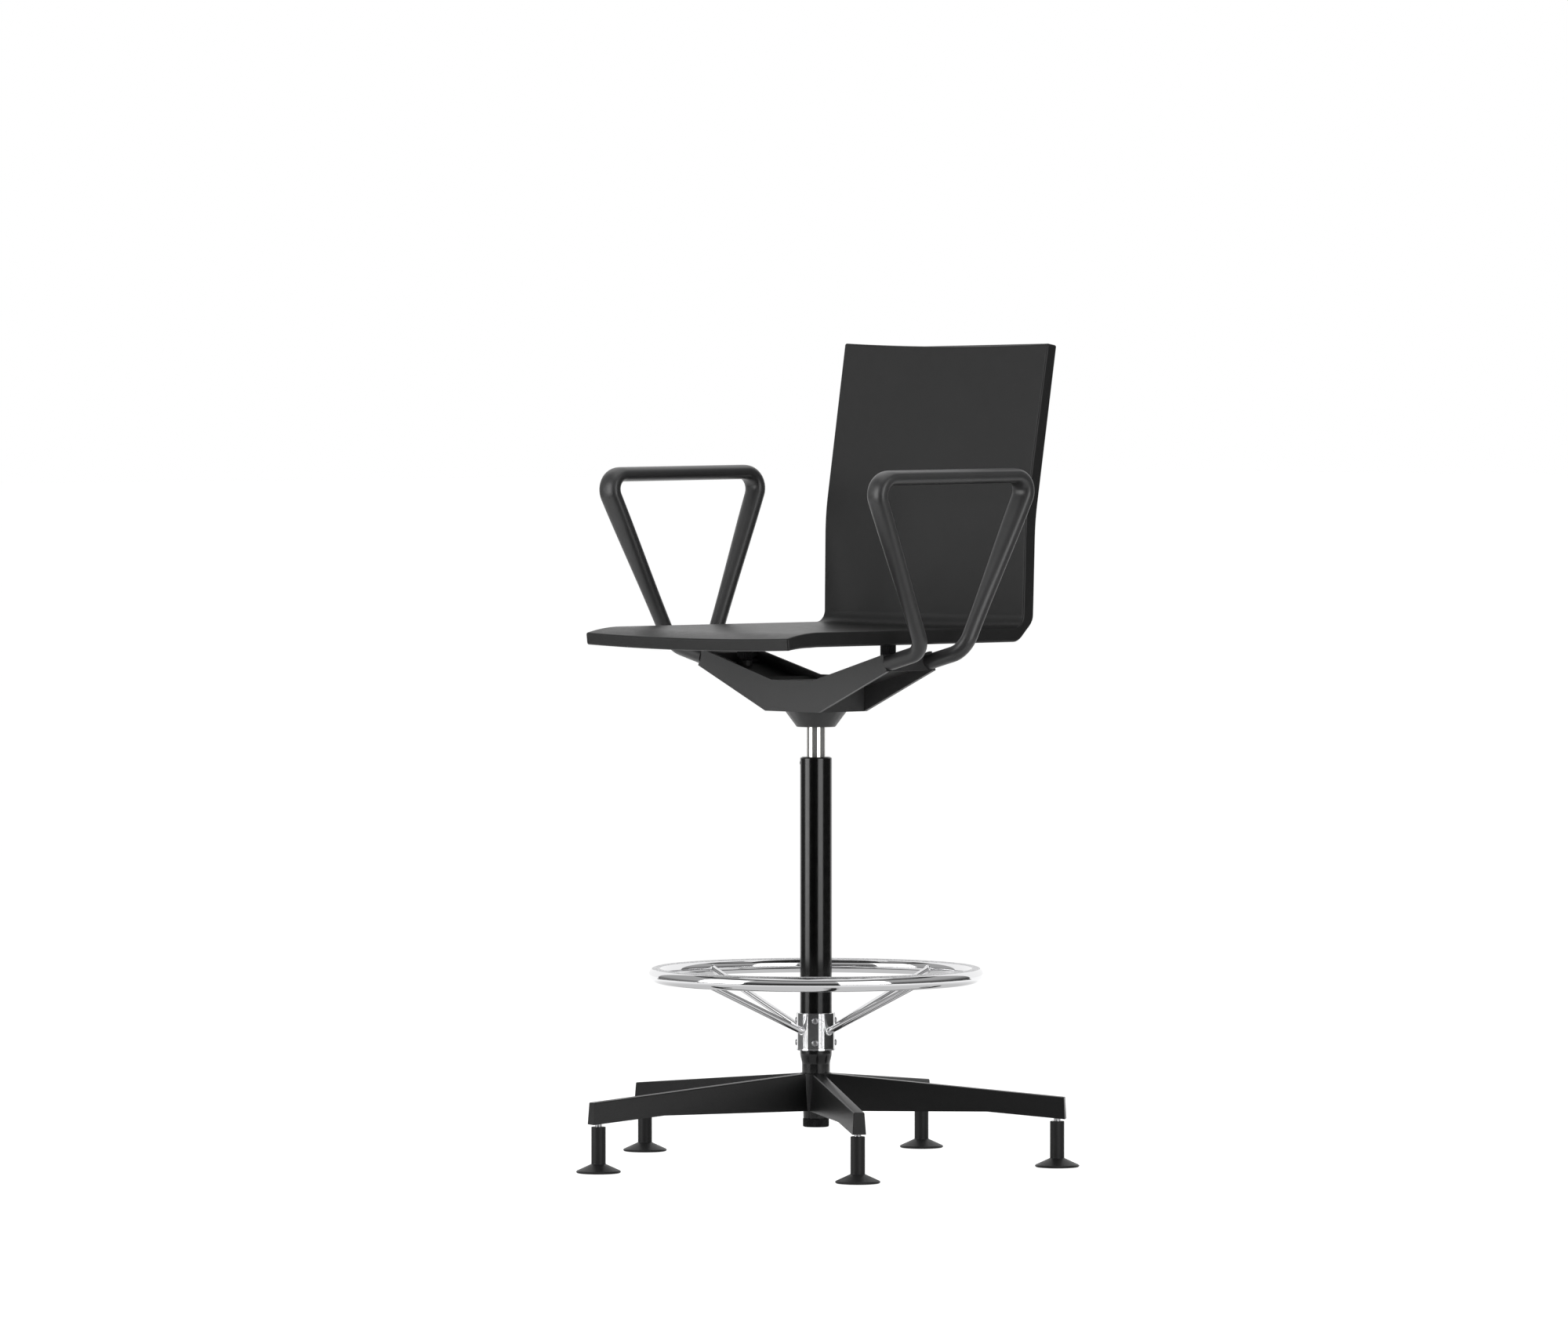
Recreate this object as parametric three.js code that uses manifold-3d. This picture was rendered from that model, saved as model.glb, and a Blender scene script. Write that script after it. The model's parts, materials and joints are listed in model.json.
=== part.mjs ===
/*
 * Drafting chair: a one-piece moulded shell with two looped armrests on a yoke-shaped carrier,
 * held by a gas spring in a tall column with a foot ring, on a five-arm star base with glides.
 *
 * Millimetres and degrees, +Z up. The sitter faces -Y and the sitter's left is +X.
 * Everything is laid out round the column's axis, with the floor at Z = 0. The finished group is
 * then moved so that its origin is on the floor in the middle of its bounding box.
 */
import * as THREE from 'three';
import { mergeVertices } from 'three/addons/utils/BufferGeometryUtils.js';
import Module from 'manifold-3d';

const wasm = await Module();
wasm.setup();

// ---------------------------------------------------------------- driving dimensions

// Fits and facets
const fit = 0.3;                        // gap between pieces that seat on each other
const roundSides = 24;                  // facets round the large turned pieces
const smallSides = 12;                  // facets round pins, rods and holes
const screwSides = 8;                   // facets round the screws
const glideSides = 16;

// Glides
const glideFootRadius = 33;
const glideFootEase = 1.9;              // rounding under the foot's widest part
const glideConeHeight = 13.2;
const glideStemRadius = 10.5;
const glideHeight = 67.3;
const glidePinRadius = 5;
const glidePinShown = 3.3;              // pin visible between the glide and the arm
const glidePinGrip = 22;                // pin length held in the glide, and again in the arm

// Star base
const armCount = 5;
const firstArmAngle = 39;
const glideCircleRadius = 357;
const armTipMargin = 11;                // arm beyond the glide's axis
const armTipLean = 1.6;                 // the end face leans out by this at its foot
const armTipDepth = 32;
const armRise = 32;                     // climb of the arm's top from the tip to the hub
const armKneeRadius = 255;              // the underside rises from the tip to here
const armKneeRise = 10;                 // by this much
const hubFootDrop = 1.3;                // hub's foot below the arm's knee
const armTopWidthAtTip = 16;
const armTopWidthAtHub = 18;
const armFootWidthAtTip = 20;
const armFootWidthAtHub = 25;
const armEdge = 1.2;                    // chamfer along the arm's top edges
const armWall = 3.4;                    // casting wall of the arm, open underneath
const armRibCount = 2;
const hubWall = 3.5;

// Column
const neckRadius = 20.6;
const neckHeight = 13;                  // straight neck above the hub
const shoulderHeight = 16;              // swell from the neck to the full tube
const columnRadius = 23.35;
const columnHeight = 463.7;             // above the hub
const columnWall = 2.2;
const columnTopFlat = 0.4;              // what the round at the column's top leaves of its wall
const columnTail = 11;                  // column below the hub's foot
const columnTailRadius = 18.6;
const columnFloor = 5;                  // thickness of the column's closed foot
const bushLength = 80;
const bushLip = 0.6;                    // bush standing above the column
const bushScrewRadius = 2.2;
const bushScrewDrop = 8;                // below the column's top
const bushScrewFacet = 15.5;            // the screw stands in the middle of this facet of the column
const capHeight = 13;
const capRadius = 19.25;
const capKnurlCount = 24;
const capKnurlDepth = 0.5;
const capWall = 3;

// Foot ring
const ringRadius = 235.4;               // to the middle of the tube
const ringTubeRadius = 11;
const ringTubeSides = 10;
const ringSegments = 36;
const ringHeight = 110.5;               // above the collar's foot
const spokeCount = 4;
const spokeRadius = 5;
const spokeRise = 3;                    // spoke's end above the middle of the ring's tube
const collarLift = 33.7;                // above the hub
const collarHeight = 55;
const collarWall = 5.1;
const collarLipHeight = 2;
const collarLipWidth = 0.6;
const collarScrewRadius = 2;
const collarScrewHeadRadius = 4.6;
const collarScrewHeadHeight = 2.6;
const collarScrewInset = 11.2;          // from the collar's ends

// Gas spring
const cylinderRadius = 14;
const cylinderWall = 2;
const cylinderShown = 45;               // between the column and the carrier at rest
const cylinderTail = 271;               // below the column's top
const cylinderLip = 2;
const cylinderConeHeight = 36;
const cylinderConeTopRadius = 13.1;
const cylinderLid = 6;
const rodRadius = 5;
const rodTailRadius = 4.2;
const rodTailShown = 6.5;               // rod below the column's foot, inside the cap
const rodGroove = 0.8;                  // depth of the clip's groove
const rodTop = 82;                      // top of the rod below the column's top
const pistonHeight = 18;
const rodGuideHeight = 15;
const valvePinRadius = 2.2;
const valvePinShown = 4;
const valvePinLength = 16;
const washerRadius = 11;
const washerThickness = 2;
const needleRaceRadius = 10.2;
const needleRaceThickness = 3;
const clipRadius = 8.5;
const clipThickness = 1.4;
const bumpStopRadius = 13;
const bumpStopHeight = 22;

// Carrier: a yoke with two side plates joined by a web, and a round hub below
const hubConeFootRadius = 28.5;
const hubConeTopRadius = 45.5;
const hubConeHeight = 23;
const hubNeckRadius = 23;               // hub inside the box
const hubGripHeight = 18.5;             // hub above the cone
const boxHalfLength = 57;
const boxDepth = 98;                    // over both side plates
const boxHeight = 46;                   // from the box's foot to the flat of the V
const flatHalfLength = 43;
const rearPlateExtra = 6;               // the rear plate stands above the front one
const yokeReach = 204;                  // to the lower corner of the tip
const yokeTipSlant = 8;                 // the tip's top corner is set back by this
const yokeTipFoot = 63.5;               // above the box's foot
const yokeTipTop = 88;                  // above the box's foot
const webRootHeight = 35.5;             // web's underside above the box's foot, at the box
const webKneeX = 157;
const webKneeHeight = 61.2;             // the same, at the web's knee
const webThickness = 5;
const plateThickness = 6;
const skinThickness = 5;                // roof and end walls of the box
const tipBlockLength = 30;

// Posts between the carrier and the shell
const postX = 155;
const postRadius = 11.5;
const postRibCount = 14;
const postRibDepth = 0.7;
const postPadThickness = 4;             // carrier between a bolt's head and the post
const seatBoltRadius = 4;
const seatBoltHeadRadius = 6.5;
const seatBoltHeadHeight = 5;
const insertFlangeRadius = 10;
const insertFlangeThickness = 2.5;
const insertBarrelRadius = 6.5;
const insertBarrelHeight = 8;
const postSeatDepth = 1.4;              // post let into the shell's underside

// Shell
const shellThickness = 21.5;
const shellFrontThickness = 18.2;
const shellTopThickness = 19;
const shellCornerThinning = 5.2;        // at the middle of the corner between seat and back
const waistWidth = 431;                 // at the corner between seat and back
const seatFrontFlare = 7;               // the seat's front edge is wider by this
const backTopFlare = 8;                 // and the back's top edge by this
const seatFrontY = -258;
const backFaceY = 214.4;                // the back's face, carried down to the sitting face
const seatAboveYoke = 123.5;            // sitting face above the carrier box's foot
const seatFrontDrop = 7.5;              // waterfall at the front edge
const seatFrontRoll = 62;               // length of the waterfall
const innerCornerRadius = 18;
const backLowerLean = 1.2;              // degrees, below the bend
const backLean = 9.5;                   // degrees, above the bend
const backBendHeight = 160;             // middle of the bend above the sitting face
const backBendLength = 60;
const backHeight = 416.3;               // top edge above the sitting face
const shellDish = 4;                    // middle of the shell below its side edges
const shellEdge = 3;                    // rounding of the shell's edges
const backTopDip = 4;                   // middle of the top edge below its corners

// Armrests
const armrestHeight = 222;              // top bar's front end above the sitting face
const armrestRearRise = 2;              // and its rear end above that
const armrestTopX = 291.5;
const armrestSeatX = 275;               // at the height of the sitting face
const armrestSeatY = 55;                // half the gap between the legs at that height
const armrestRearY = 156.5;             // end of the top bar behind the middle
const armrestFrontY = 160.4;            // and before it, to the corners of the centre lines
const armrestTopRound = 23.5;
const armrestFootRound = 34;
const armrestThickness = 22.5;          // at the roots
const armrestTopThickness = 21.6;
const armrestTopWidth = 36;
const armrestFootWidth = 23;
const armrestSides = 12;
const armrestRootY = 40;
const armrestRootRise = 14;             // degrees by which the roots climb outwards
const rootSpotDepth = 1;
const spigotRadius = 6.5;
const spigotLength = 24;
const armrestScrewRadius = 2.5;
const armrestScrewHeadRadius = 4.2;
const armrestScrewHeadHeight = 3;

// Height release
const leverWidth = 12;
const leverThickness = 4;
const leverPivotX = 44;
const leverPivotRadius = 2.5;
const leverBossWall = 2.4;
const leverReach = 188;
const leverTipDrop = 16;                // below the web at the reach
const leverRoom = 3;                    // room round the lever in the carrier
const leverGripWidth = 22;
const leverGripLength = 46;
const leverGripThickness = 8;
const leverGripOverhang = 8;            // grip beyond the lever's end
const lugThickness = 4;
const lugHalfLength = 6;

// ---------------------------------------------------------------- heights that follow

const rad = THREE.MathUtils.degToRad;
const { lerp, mapLinear } = THREE.MathUtils;
const armTipFootZ = glideHeight + glidePinShown;
const armTipTopZ = armTipFootZ + armTipDepth;
const armKneeZ = armTipFootZ + armKneeRise;
const armTipRadius = glideCircleRadius + armTipMargin;
const hubFootZ = armKneeZ - hubFootDrop;
const hubTopZ = armTipTopZ + armRise;
const hubRadius = neckRadius + hubWall;
const columnFootZ = hubFootZ - columnTail;
const columnTopZ = hubTopZ + columnHeight;
const collarFootZ = hubTopZ + collarLift;
const collarRadius = columnRadius + collarWall;
const ringZ = collarFootZ + ringHeight;
const cylinderFootZ = columnTopZ - cylinderTail;
const carrierFootZ = columnTopZ + cylinderShown;
const boxFootZ = carrierFootZ + hubConeHeight;
const boxRoofZ = boxFootZ + boxHeight;
const hubSeatTopZ = boxFootZ + hubGripHeight;
const cylinderTopZ = hubSeatTopZ + 1;
const seatZ = boxFootZ + seatAboveYoke;
const seatWidthFront = waistWidth + seatFrontFlare;
const backWidthTop = waistWidth + backTopFlare;
const plateInsideY = boxDepth / 2 - plateThickness;

// ---------------------------------------------------------------- geometry helpers

const point = (x, y, z) => new THREE.Vector3(x, y, z);
const flat = (x, y) => new THREE.Vector2(x, y);
const counted = (count, make) => Array.from({ length: count }, (_, i) => make(i));

/** A closed geometry reduced to positions and triangles, with shared vertices merged. */
function tidy(geometry) {
  const bare = geometry.clone();
  bare.deleteAttribute('normal');
  bare.deleteAttribute('uv');
  const merged = mergeVertices(bare, 1e-4);
  const corners = merged.index.array;
  const kept = [];
  for (let i = 0; i < corners.length; i += 3) {
    const [a, b, c] = corners.slice(i, i + 3);
    if (a !== b && b !== c && c !== a) kept.push(a, b, c);
  }
  merged.setIndex(kept);
  return merged;
}

/** A geometry as a solid that can be cut and joined. */
function solid(geometry) {
  const merged = tidy(geometry);
  return new wasm.Manifold(new wasm.Mesh({
    numProp: 3,
    vertProperties: new Float32Array(merged.attributes.position.array),
    triVerts: new Uint32Array(merged.index.array),
  }));
}

/** A solid back as a geometry with flat facets. */
function facets(body) {
  const mesh = body.getMesh();
  const positions = new THREE.BufferAttribute(new Float32Array(mesh.vertProperties), 3);
  const geometry = new THREE.BufferGeometry().setAttribute('position', positions);
  geometry.setIndex(Array.from(mesh.triVerts));
  return geometry;
}

const joined = (first, ...rest) => rest.reduce((body, next) => body.add(next), first);
const cut = (first, ...rest) => rest.reduce((body, next) => body.subtract(next), first);

/** A profile of [radius, height] pairs turned round the Z axis. */
function revolve(profile, sides = roundSides) {
  const outline = profile.map(([radius, height]) => flat(radius, height));
  if (THREE.ShapeUtils.area(outline) < 0) outline.reverse();
  const closed = outline[0].x === 0 && outline.at(-1).x === 0 ? outline : [...outline, outline[0]];
  return new THREE.LatheGeometry(closed, sides).rotateX(Math.PI / 2);
}

/** A plain ring, from one height to another. */
function washer(inner, outer, low, high, sides = smallSides) {
  return revolve([[inner, low], [outer, low], [outer, high], [inner, high]], sides);
}

/** A plain disc, from one height to another. */
function disc(radius, low, high, sides = smallSides) {
  return revolve([[0, low], [radius, low], [radius, high], [0, high]], sides);
}

/** A bar along Y, centred on the X-Z plane. */
function crossBar(radius, length, x, z) {
  return new THREE.CylinderGeometry(radius, radius, length, smallSides).translate(x, 0, z);
}

/** An outline of [x, z] pairs extruded along Y between two faces. */
function plate(outline, fromY, toY) {
  const shape = new THREE.Shape(outline.map(([x, z]) => flat(x, z)));
  const geometry = new THREE.ExtrudeGeometry(shape, { depth: toY - fromY, bevelEnabled: false });
  return geometry.rotateX(Math.PI / 2).translate(0, toY, 0);
}

/** A fluted drum standing on Z = 0. */
function flutedDrum(radius, fluteCount, fluteDepth, height) {
  const outline = counted(fluteCount * 2, (i) => {
    const reach = radius - (i % 2 ? fluteDepth : 0);
    const angle = (i * Math.PI) / fluteCount;
    return flat(reach * Math.cos(angle), reach * Math.sin(angle));
  });
  return new THREE.ExtrudeGeometry(new THREE.Shape(outline), { depth: height, bevelEnabled: false });
}

/** A block between two corners, each given as [x, y, z]. */
function block([lowX, lowY, lowZ], [highX, highY, highZ]) {
  const box = new THREE.BoxGeometry(highX - lowX, highY - lowY, highZ - lowZ);
  return box.translate((lowX + highX) / 2, (lowY + highY) / 2, (lowZ + highZ) / 2);
}

/** Rings of equal count joined in order, closed at both ends by the outline's triangles. */
function loft(rings, outline) {
  const count = outline.length;
  const index = [];
  for (let k = 0; k + 1 < rings.length; k += 1) {
    for (let i = 0; i < count; i += 1) {
      const a = k * count + i;
      const b = k * count + ((i + 1) % count);
      index.push(a, b, b + count, a, b + count, a + count);
    }
  }
  const last = (rings.length - 1) * count;
  for (const [i, j, k] of THREE.ShapeUtils.triangulateShape(outline, [])) {
    index.push(i, k, j, last + i, last + j, last + k);
  }
  const geometry = new THREE.BufferGeometry().setFromPoints(rings.flat());
  geometry.setIndex(index);
  return geometry;
}

/** Moves a piece built along +Z so that it starts at a point and runs along a direction. */
function aim(geometry, from, direction) {
  const along = direction.clone().normalize();
  const turn = new THREE.Quaternion().setFromUnitVectors(point(0, 0, 1), along);
  return geometry.applyQuaternion(turn).translate(from.x, from.y, from.z);
}

/** A button- or socket-head screw along +Z: head above Z = 0, shank below, hex socket in the top. */
function socketScrew(shankRadius, length, headRadius, headHeight) {
  const body = solid(revolve([
    [0, -length], [shankRadius, -length], [shankRadius, 0], [headRadius, 0],
    [headRadius, headHeight * 0.55], [headRadius * 0.72, headHeight], [0, headHeight],
  ], screwSides));
  const socket = disc(headRadius * 0.4, headHeight * 0.35, headHeight + 1, 6);
  return facets(cut(body, solid(socket)));
}

// ---------------------------------------------------------------- materials

function finish(color, roughness, metalness) {
  return new THREE.MeshStandardMaterial({ color, roughness, metalness });
}

const moulded = finish(0x2e2e2e, 0.62, 0);
const plastic = finish(0x1c1c1c, 0.5, 0);
const castBlack = finish(0x303030, 0.55, 0.2);
const columnBlack = finish(0x0c0c0c, 0.3, 0.2);
const chrome = finish(0xd8d8da, 0.08, 1);
const steel = finish(0x9c9c9e, 0.35, 1);
const rubber = finish(0x161616, 0.85, 0);

const chair = new THREE.Group();

/** Adds one named piece to a group, or to the chair. */
function add(name, geometry, material, parent = chair) {
  const mesh = new THREE.Mesh(tidy(geometry), material);
  mesh.name = name;
  parent.add(mesh);
}

/** A group turned about the column's axis. */
function turned(angle, radius = 0, z = 0) {
  const group = new THREE.Group();
  group.rotation.z = rad(angle);
  group.position.set(radius * Math.cos(rad(angle)), radius * Math.sin(rad(angle)), z);
  chair.add(group);
  return group;
}

// ---------------------------------------------------------------- star base

/** One arm's section across +X: a trapezium with chamfered top edges, or set in by a wall. */
function armRing(radius, wall = 0, lean = 0) {
  const along = Math.max(0, (radius - hubRadius) / (armTipRadius - hubRadius));
  const topHalf = lerp(armTopWidthAtHub, armTopWidthAtTip, along) / 2 - wall;
  const footHalf = lerp(armFootWidthAtHub, armFootWidthAtTip, along) / 2 - wall;
  const topZ = armTipTopZ + armRise * (1 - along) - wall;
  const pastHub = Math.max(0, (radius - hubRadius) / (armKneeRadius - hubRadius));
  const pastKnee = (radius - armKneeRadius) / (armTipRadius - armKneeRadius);
  const underZ = pastKnee > 0 ? lerp(armKneeZ, armTipFootZ, pastKnee) : lerp(hubFootZ, armKneeZ, pastHub);
  const footZ = wall ? underZ - 1 : underZ;
  const edge = wall ? 0.01 : armEdge;
  return [
    point(radius + lean, -footHalf, footZ),
    point(radius + lean, footHalf, footZ),
    point(radius, topHalf, topZ - edge),
    point(radius, topHalf - edge, topZ),
    point(radius, edge - topHalf, topZ),
    point(radius, -topHalf, topZ - edge),
  ];
}

/** Flat outline that closes an arm's end. */
const armOutline = armRing(armKneeRadius).map((p) => flat(p.y, p.z));

/** The pocket under an arm, from the hub to the glide's boss, crossed by ribs. */
function armPocket() {
  const start = hubRadius + armWall;
  const end = glideCircleRadius - glidePinRadius - armWall - fit;
  const rings = [start, armKneeRadius, end].map((radius) => armRing(radius, armWall));
  const ribs = counted(armRibCount, (i) => {
    const x = lerp(start, end, (i + 1) / (armRibCount + 1));
    const half = armWall / 2;
    const reach = armFootWidthAtHub;
    return solid(block([x - half, -reach, armKneeZ + armWall], [x + half, reach, hubTopZ]));
  });
  return cut(solid(loft(rings, armOutline)), ...ribs);
}

function starBase() {
  const arm = solid(loft([
    armRing(hubRadius / 2), armRing(armKneeRadius), armRing(armTipRadius, 0, armTipLean),
  ], armOutline));
  const pinHole = disc(glidePinRadius + fit, armTipFootZ - 1, armTipFootZ + glidePinGrip + fit);
  const hollow = [armPocket(), solid(pinHole.translate(glideCircleRadius, 0, 0))];
  const angles = counted(armCount, (i) => firstArmAngle + (i * 360) / armCount);
  const hub = solid(revolve([
    [0, hubFootZ], [hubRadius - 1, hubFootZ], [hubRadius, hubFootZ + 1],
    [hubRadius, hubTopZ - 1], [hubRadius - 1, hubTopZ], [0, hubTopZ],
  ]));
  const arms = angles.map((angle) => arm.rotate([0, 0, angle]));
  const hollows = angles.flatMap((angle) => hollow.map((body) => body.rotate([0, 0, angle])));
  // The bore narrows downwards, so that the column's foot wedges into it.
  const bore = solid(revolve([
    [0, columnFootZ], [columnTailRadius + fit, columnFootZ], [neckRadius + fit, hubTopZ],
    [neckRadius + fit, hubTopZ + 1], [0, hubTopZ + 1],
  ]));
  return facets(cut(joined(hub, ...arms), ...hollows, bore));
}

function glide() {
  return revolve([
    [0, 0], [glideFootRadius - glideFootEase, 0], [glideFootRadius, glideFootEase],
    [glideStemRadius, glideConeHeight], [glideStemRadius, glideHeight], [glidePinRadius + fit, glideHeight],
    [glidePinRadius + fit, glideHeight - glidePinGrip - fit], [0, glideHeight - glidePinGrip - fit],
  ], glideSides);
}

add('star_base', starBase(), castBlack);
for (let i = 0; i < armCount; i += 1) {
  const place = turned(firstArmAngle + (i * 360) / armCount, glideCircleRadius);
  const pin = disc(glidePinRadius, glideHeight - glidePinGrip, armTipFootZ + glidePinGrip);
  add(`glide_${i + 1}`, glide(), plastic, place);
  add(`glide_pin_${i + 1}`, pin, steel, place);
}

// ---------------------------------------------------------------- column

const columnBoreRadius = columnRadius - columnWall;
const columnTopRound = columnWall - columnTopFlat;
const tailBoreRadius = columnTailRadius - columnWall;
const neckTopZ = hubTopZ + neckHeight;
const shoulderTopZ = neckTopZ + shoulderHeight;
const bushChamfer = 1.5;

/** The screw that holds the bush points at the column's axis. */
const bushScrewAngle = rad((bushScrewFacet * 360) / roundSides);
const bushScrewLine = point(Math.cos(bushScrewAngle), Math.sin(bushScrewAngle), 0);
const bushScrewStart = columnBoreRadius - bushChamfer;

/** A rod on the bush screw's line, from a radius outwards. */
function onBushScrew(rodRadiusHere, fromRadius, length) {
  const from = bushScrewLine.clone().multiplyScalar(fromRadius).setZ(columnTopZ - bushScrewDrop);
  return aim(disc(rodRadiusHere, 0, length), from, bushScrewLine);
}

function columnTube() {
  const shoulder = [0, 1 / 3, 2 / 3, 1].map((t) => [
    lerp(neckRadius, columnRadius, THREE.MathUtils.smoothstep(t, 0, 1)), neckTopZ + shoulderHeight * t,
  ]);
  const round = [0, 45, 90].map((angle) => [
    columnRadius - columnTopRound * (1 - Math.cos(rad(angle))),
    columnTopZ - columnTopRound * (1 - Math.sin(rad(angle))),
  ]);
  const tube = solid(revolve([
    [rodTailRadius + fit, columnFootZ], [columnTailRadius, columnFootZ],
    [neckRadius, hubTopZ + fit], ...shoulder, ...round,
    [columnBoreRadius, columnTopZ], [columnBoreRadius, shoulderTopZ], [tailBoreRadius, neckTopZ],
    [tailBoreRadius, columnFootZ + columnFloor], [rodTailRadius + fit, columnFootZ + columnFloor],
  ]));
  const screwHole = onBushScrew(bushScrewRadius + fit, columnBoreRadius - 1, columnWall + 3);
  return facets(cut(tube, solid(screwHole)));
}

function guideBush() {
  const bore = cylinderRadius + fit;
  const outer = columnBoreRadius - fit;
  const body = washer(bore, outer, columnTopZ - bushLength, columnTopZ + bushLip, roundSides);
  const dimple = onBushScrew(bushScrewRadius + fit, bushScrewStart - fit, columnWall + 3);
  return facets(cut(solid(body), solid(dimple)));
}

/** The knurled cap that covers the rod's clip under the base. */
function baseCap() {
  const drum = flutedDrum(capRadius, capKnurlCount, capKnurlDepth, capHeight - fit);
  const hollow = disc(capRadius - capWall, capWall, capHeight);
  return facets(cut(solid(drum), solid(hollow))).translate(0, 0, columnFootZ - capHeight);
}

const bushScrewLength = columnRadius - bushScrewStart;

add('column_tube', columnTube(), columnBlack);
add('guide_bush', guideBush(), plastic);
add('bush_screw', onBushScrew(bushScrewRadius, bushScrewStart, bushScrewLength + 0.4), columnBlack);
add('base_cap', baseCap(), plastic);

// ---------------------------------------------------------------- foot ring

/** The ring's tube, swollen by a gap. */
function ringTube(gap) {
  const tube = new THREE.TorusGeometry(ringRadius, ringTubeRadius + gap, ringTubeSides, ringSegments);
  return tube.translate(0, 0, ringZ);
}

/** The collar screws stand between the spokes, in an upper and a lower row. */
const collarScrewHeights = [collarFootZ + collarScrewInset, collarFootZ + collarHeight - collarScrewInset];
const spotFaceRadius = Math.sqrt(collarRadius ** 2 - (collarScrewHeadRadius + 0.6) ** 2);

function ringCollar() {
  const bore = columnRadius + fit;
  const lipRadius = collarRadius + collarLipWidth;
  const sleeve = solid(revolve([
    [bore, collarFootZ], [lipRadius, collarFootZ], [lipRadius, collarFootZ + collarLipHeight],
    [collarRadius, collarFootZ + collarLipHeight + collarLipWidth],
    [collarRadius, collarFootZ + collarHeight], [bore, collarFootZ + collarHeight],
  ]));
  const seats = collarScrewHeights.flatMap((z) => counted(spokeCount, (i) => {
    const angle = rad(((i + 0.5) * 360) / spokeCount);
    const outwards = point(Math.cos(angle), Math.sin(angle), 0);
    const at = (radius) => outwards.clone().multiplyScalar(radius).setZ(z);
    const hole = disc(collarScrewRadius + fit, 0, collarWall * 2, screwSides);
    const face = disc(collarScrewHeadRadius + 0.5, 0, collarWall, screwSides);
    return [
      solid(aim(hole, at(columnRadius - 1), outwards)),
      solid(aim(face, at(spotFaceRadius), outwards)),
    ];
  })).flat();
  return facets(cut(sleeve, ...seats));
}

/** A spoke from the collar to the ring, shaped to both. */
function ringSpoke() {
  const from = point(columnRadius, 0, collarFootZ + collarHeight / 2);
  const line = point(ringRadius, 0, ringZ + spokeRise).sub(from);
  const bar = aim(disc(spokeRadius, 0, line.length()), from, line);
  const sleeve = disc(collarRadius + fit, collarFootZ - 10, collarFootZ + collarHeight + 10, roundSides);
  return facets(cut(solid(bar), solid(sleeve), solid(ringTube(fit))));
}

add('ring_collar', ringCollar(), chrome);
add('foot_ring', ringTube(0), chrome);
for (let i = 0; i < spokeCount; i += 1) {
  add(`ring_spoke_${i + 1}`, ringSpoke(), chrome, turned((i * 360) / spokeCount));
}
collarScrewHeights.forEach((z, row) => {
  const length = spotFaceRadius - columnRadius;
  for (let i = 0; i < spokeCount; i += 1) {
    const screw = socketScrew(collarScrewRadius, length, collarScrewHeadRadius, collarScrewHeadHeight);
    screw.rotateY(Math.PI / 2).translate(spotFaceRadius + fit, 0, 0);
    const place = turned(((i + 0.5) * 360) / spokeCount, 0, z);
    add(`collar_screw_${row * spokeCount + i + 1}`, screw, chrome, place);
  }
});

// ---------------------------------------------------------------- gas spring

const rodFootZ = columnFootZ - rodTailShown;
const clipTopZ = columnFootZ - fit;
const clipFootZ = clipTopZ - clipThickness;
const lowerWasherZ = columnFootZ + columnFloor + fit;
const needleRaceZ = lowerWasherZ + washerThickness + fit;
const upperWasherZ = needleRaceZ + needleRaceThickness + fit;
const rodShoulderZ = upperWasherZ + washerThickness + fit;
const bumpStopZ = rodShoulderZ + fit;
const rodTopZ = columnTopZ - rodTop;
const rodGuideZ = cylinderFootZ + cylinderLip + fit;
const valvePinFootZ = cylinderTopZ + valvePinShown - valvePinLength;
const cylinderBoreRadius = cylinderRadius - cylinderWall;
const thrustBore = rodTailRadius + fit;

function pistonRod() {
  const groove = rodTailRadius - rodGroove;
  return revolve([
    [0, rodFootZ], [rodTailRadius, rodFootZ], [rodTailRadius, clipFootZ - fit],
    [groove, clipFootZ - fit], [groove, clipTopZ + fit], [rodTailRadius, clipTopZ + fit],
    [rodTailRadius, rodShoulderZ], [rodRadius, rodShoulderZ], [rodRadius, rodTopZ], [0, rodTopZ],
  ], smallSides);
}

function gasCylinder() {
  const coneFootZ = cylinderTopZ - cylinderConeHeight;
  const lidFootZ = cylinderTopZ - cylinderLid;
  const lipTopZ = cylinderFootZ + cylinderLip;
  return revolve([
    [cylinderBoreRadius - cylinderLip, cylinderFootZ], [cylinderRadius, cylinderFootZ],
    [cylinderRadius, coneFootZ], [cylinderConeTopRadius, cylinderTopZ],
    [valvePinRadius + fit, cylinderTopZ], [valvePinRadius + fit, lidFootZ],
    [cylinderBoreRadius - 1, lidFootZ], [cylinderBoreRadius - 1, coneFootZ],
    [cylinderBoreRadius, coneFootZ - 1], [cylinderBoreRadius, lipTopZ],
    [cylinderBoreRadius - cylinderLip, lipTopZ],
  ]);
}

/** A steel ring round the rod's tail, from a height upwards. */
const tailRing = (outer, low, thickness) => washer(thrustBore, outer, low, low + thickness);

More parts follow.
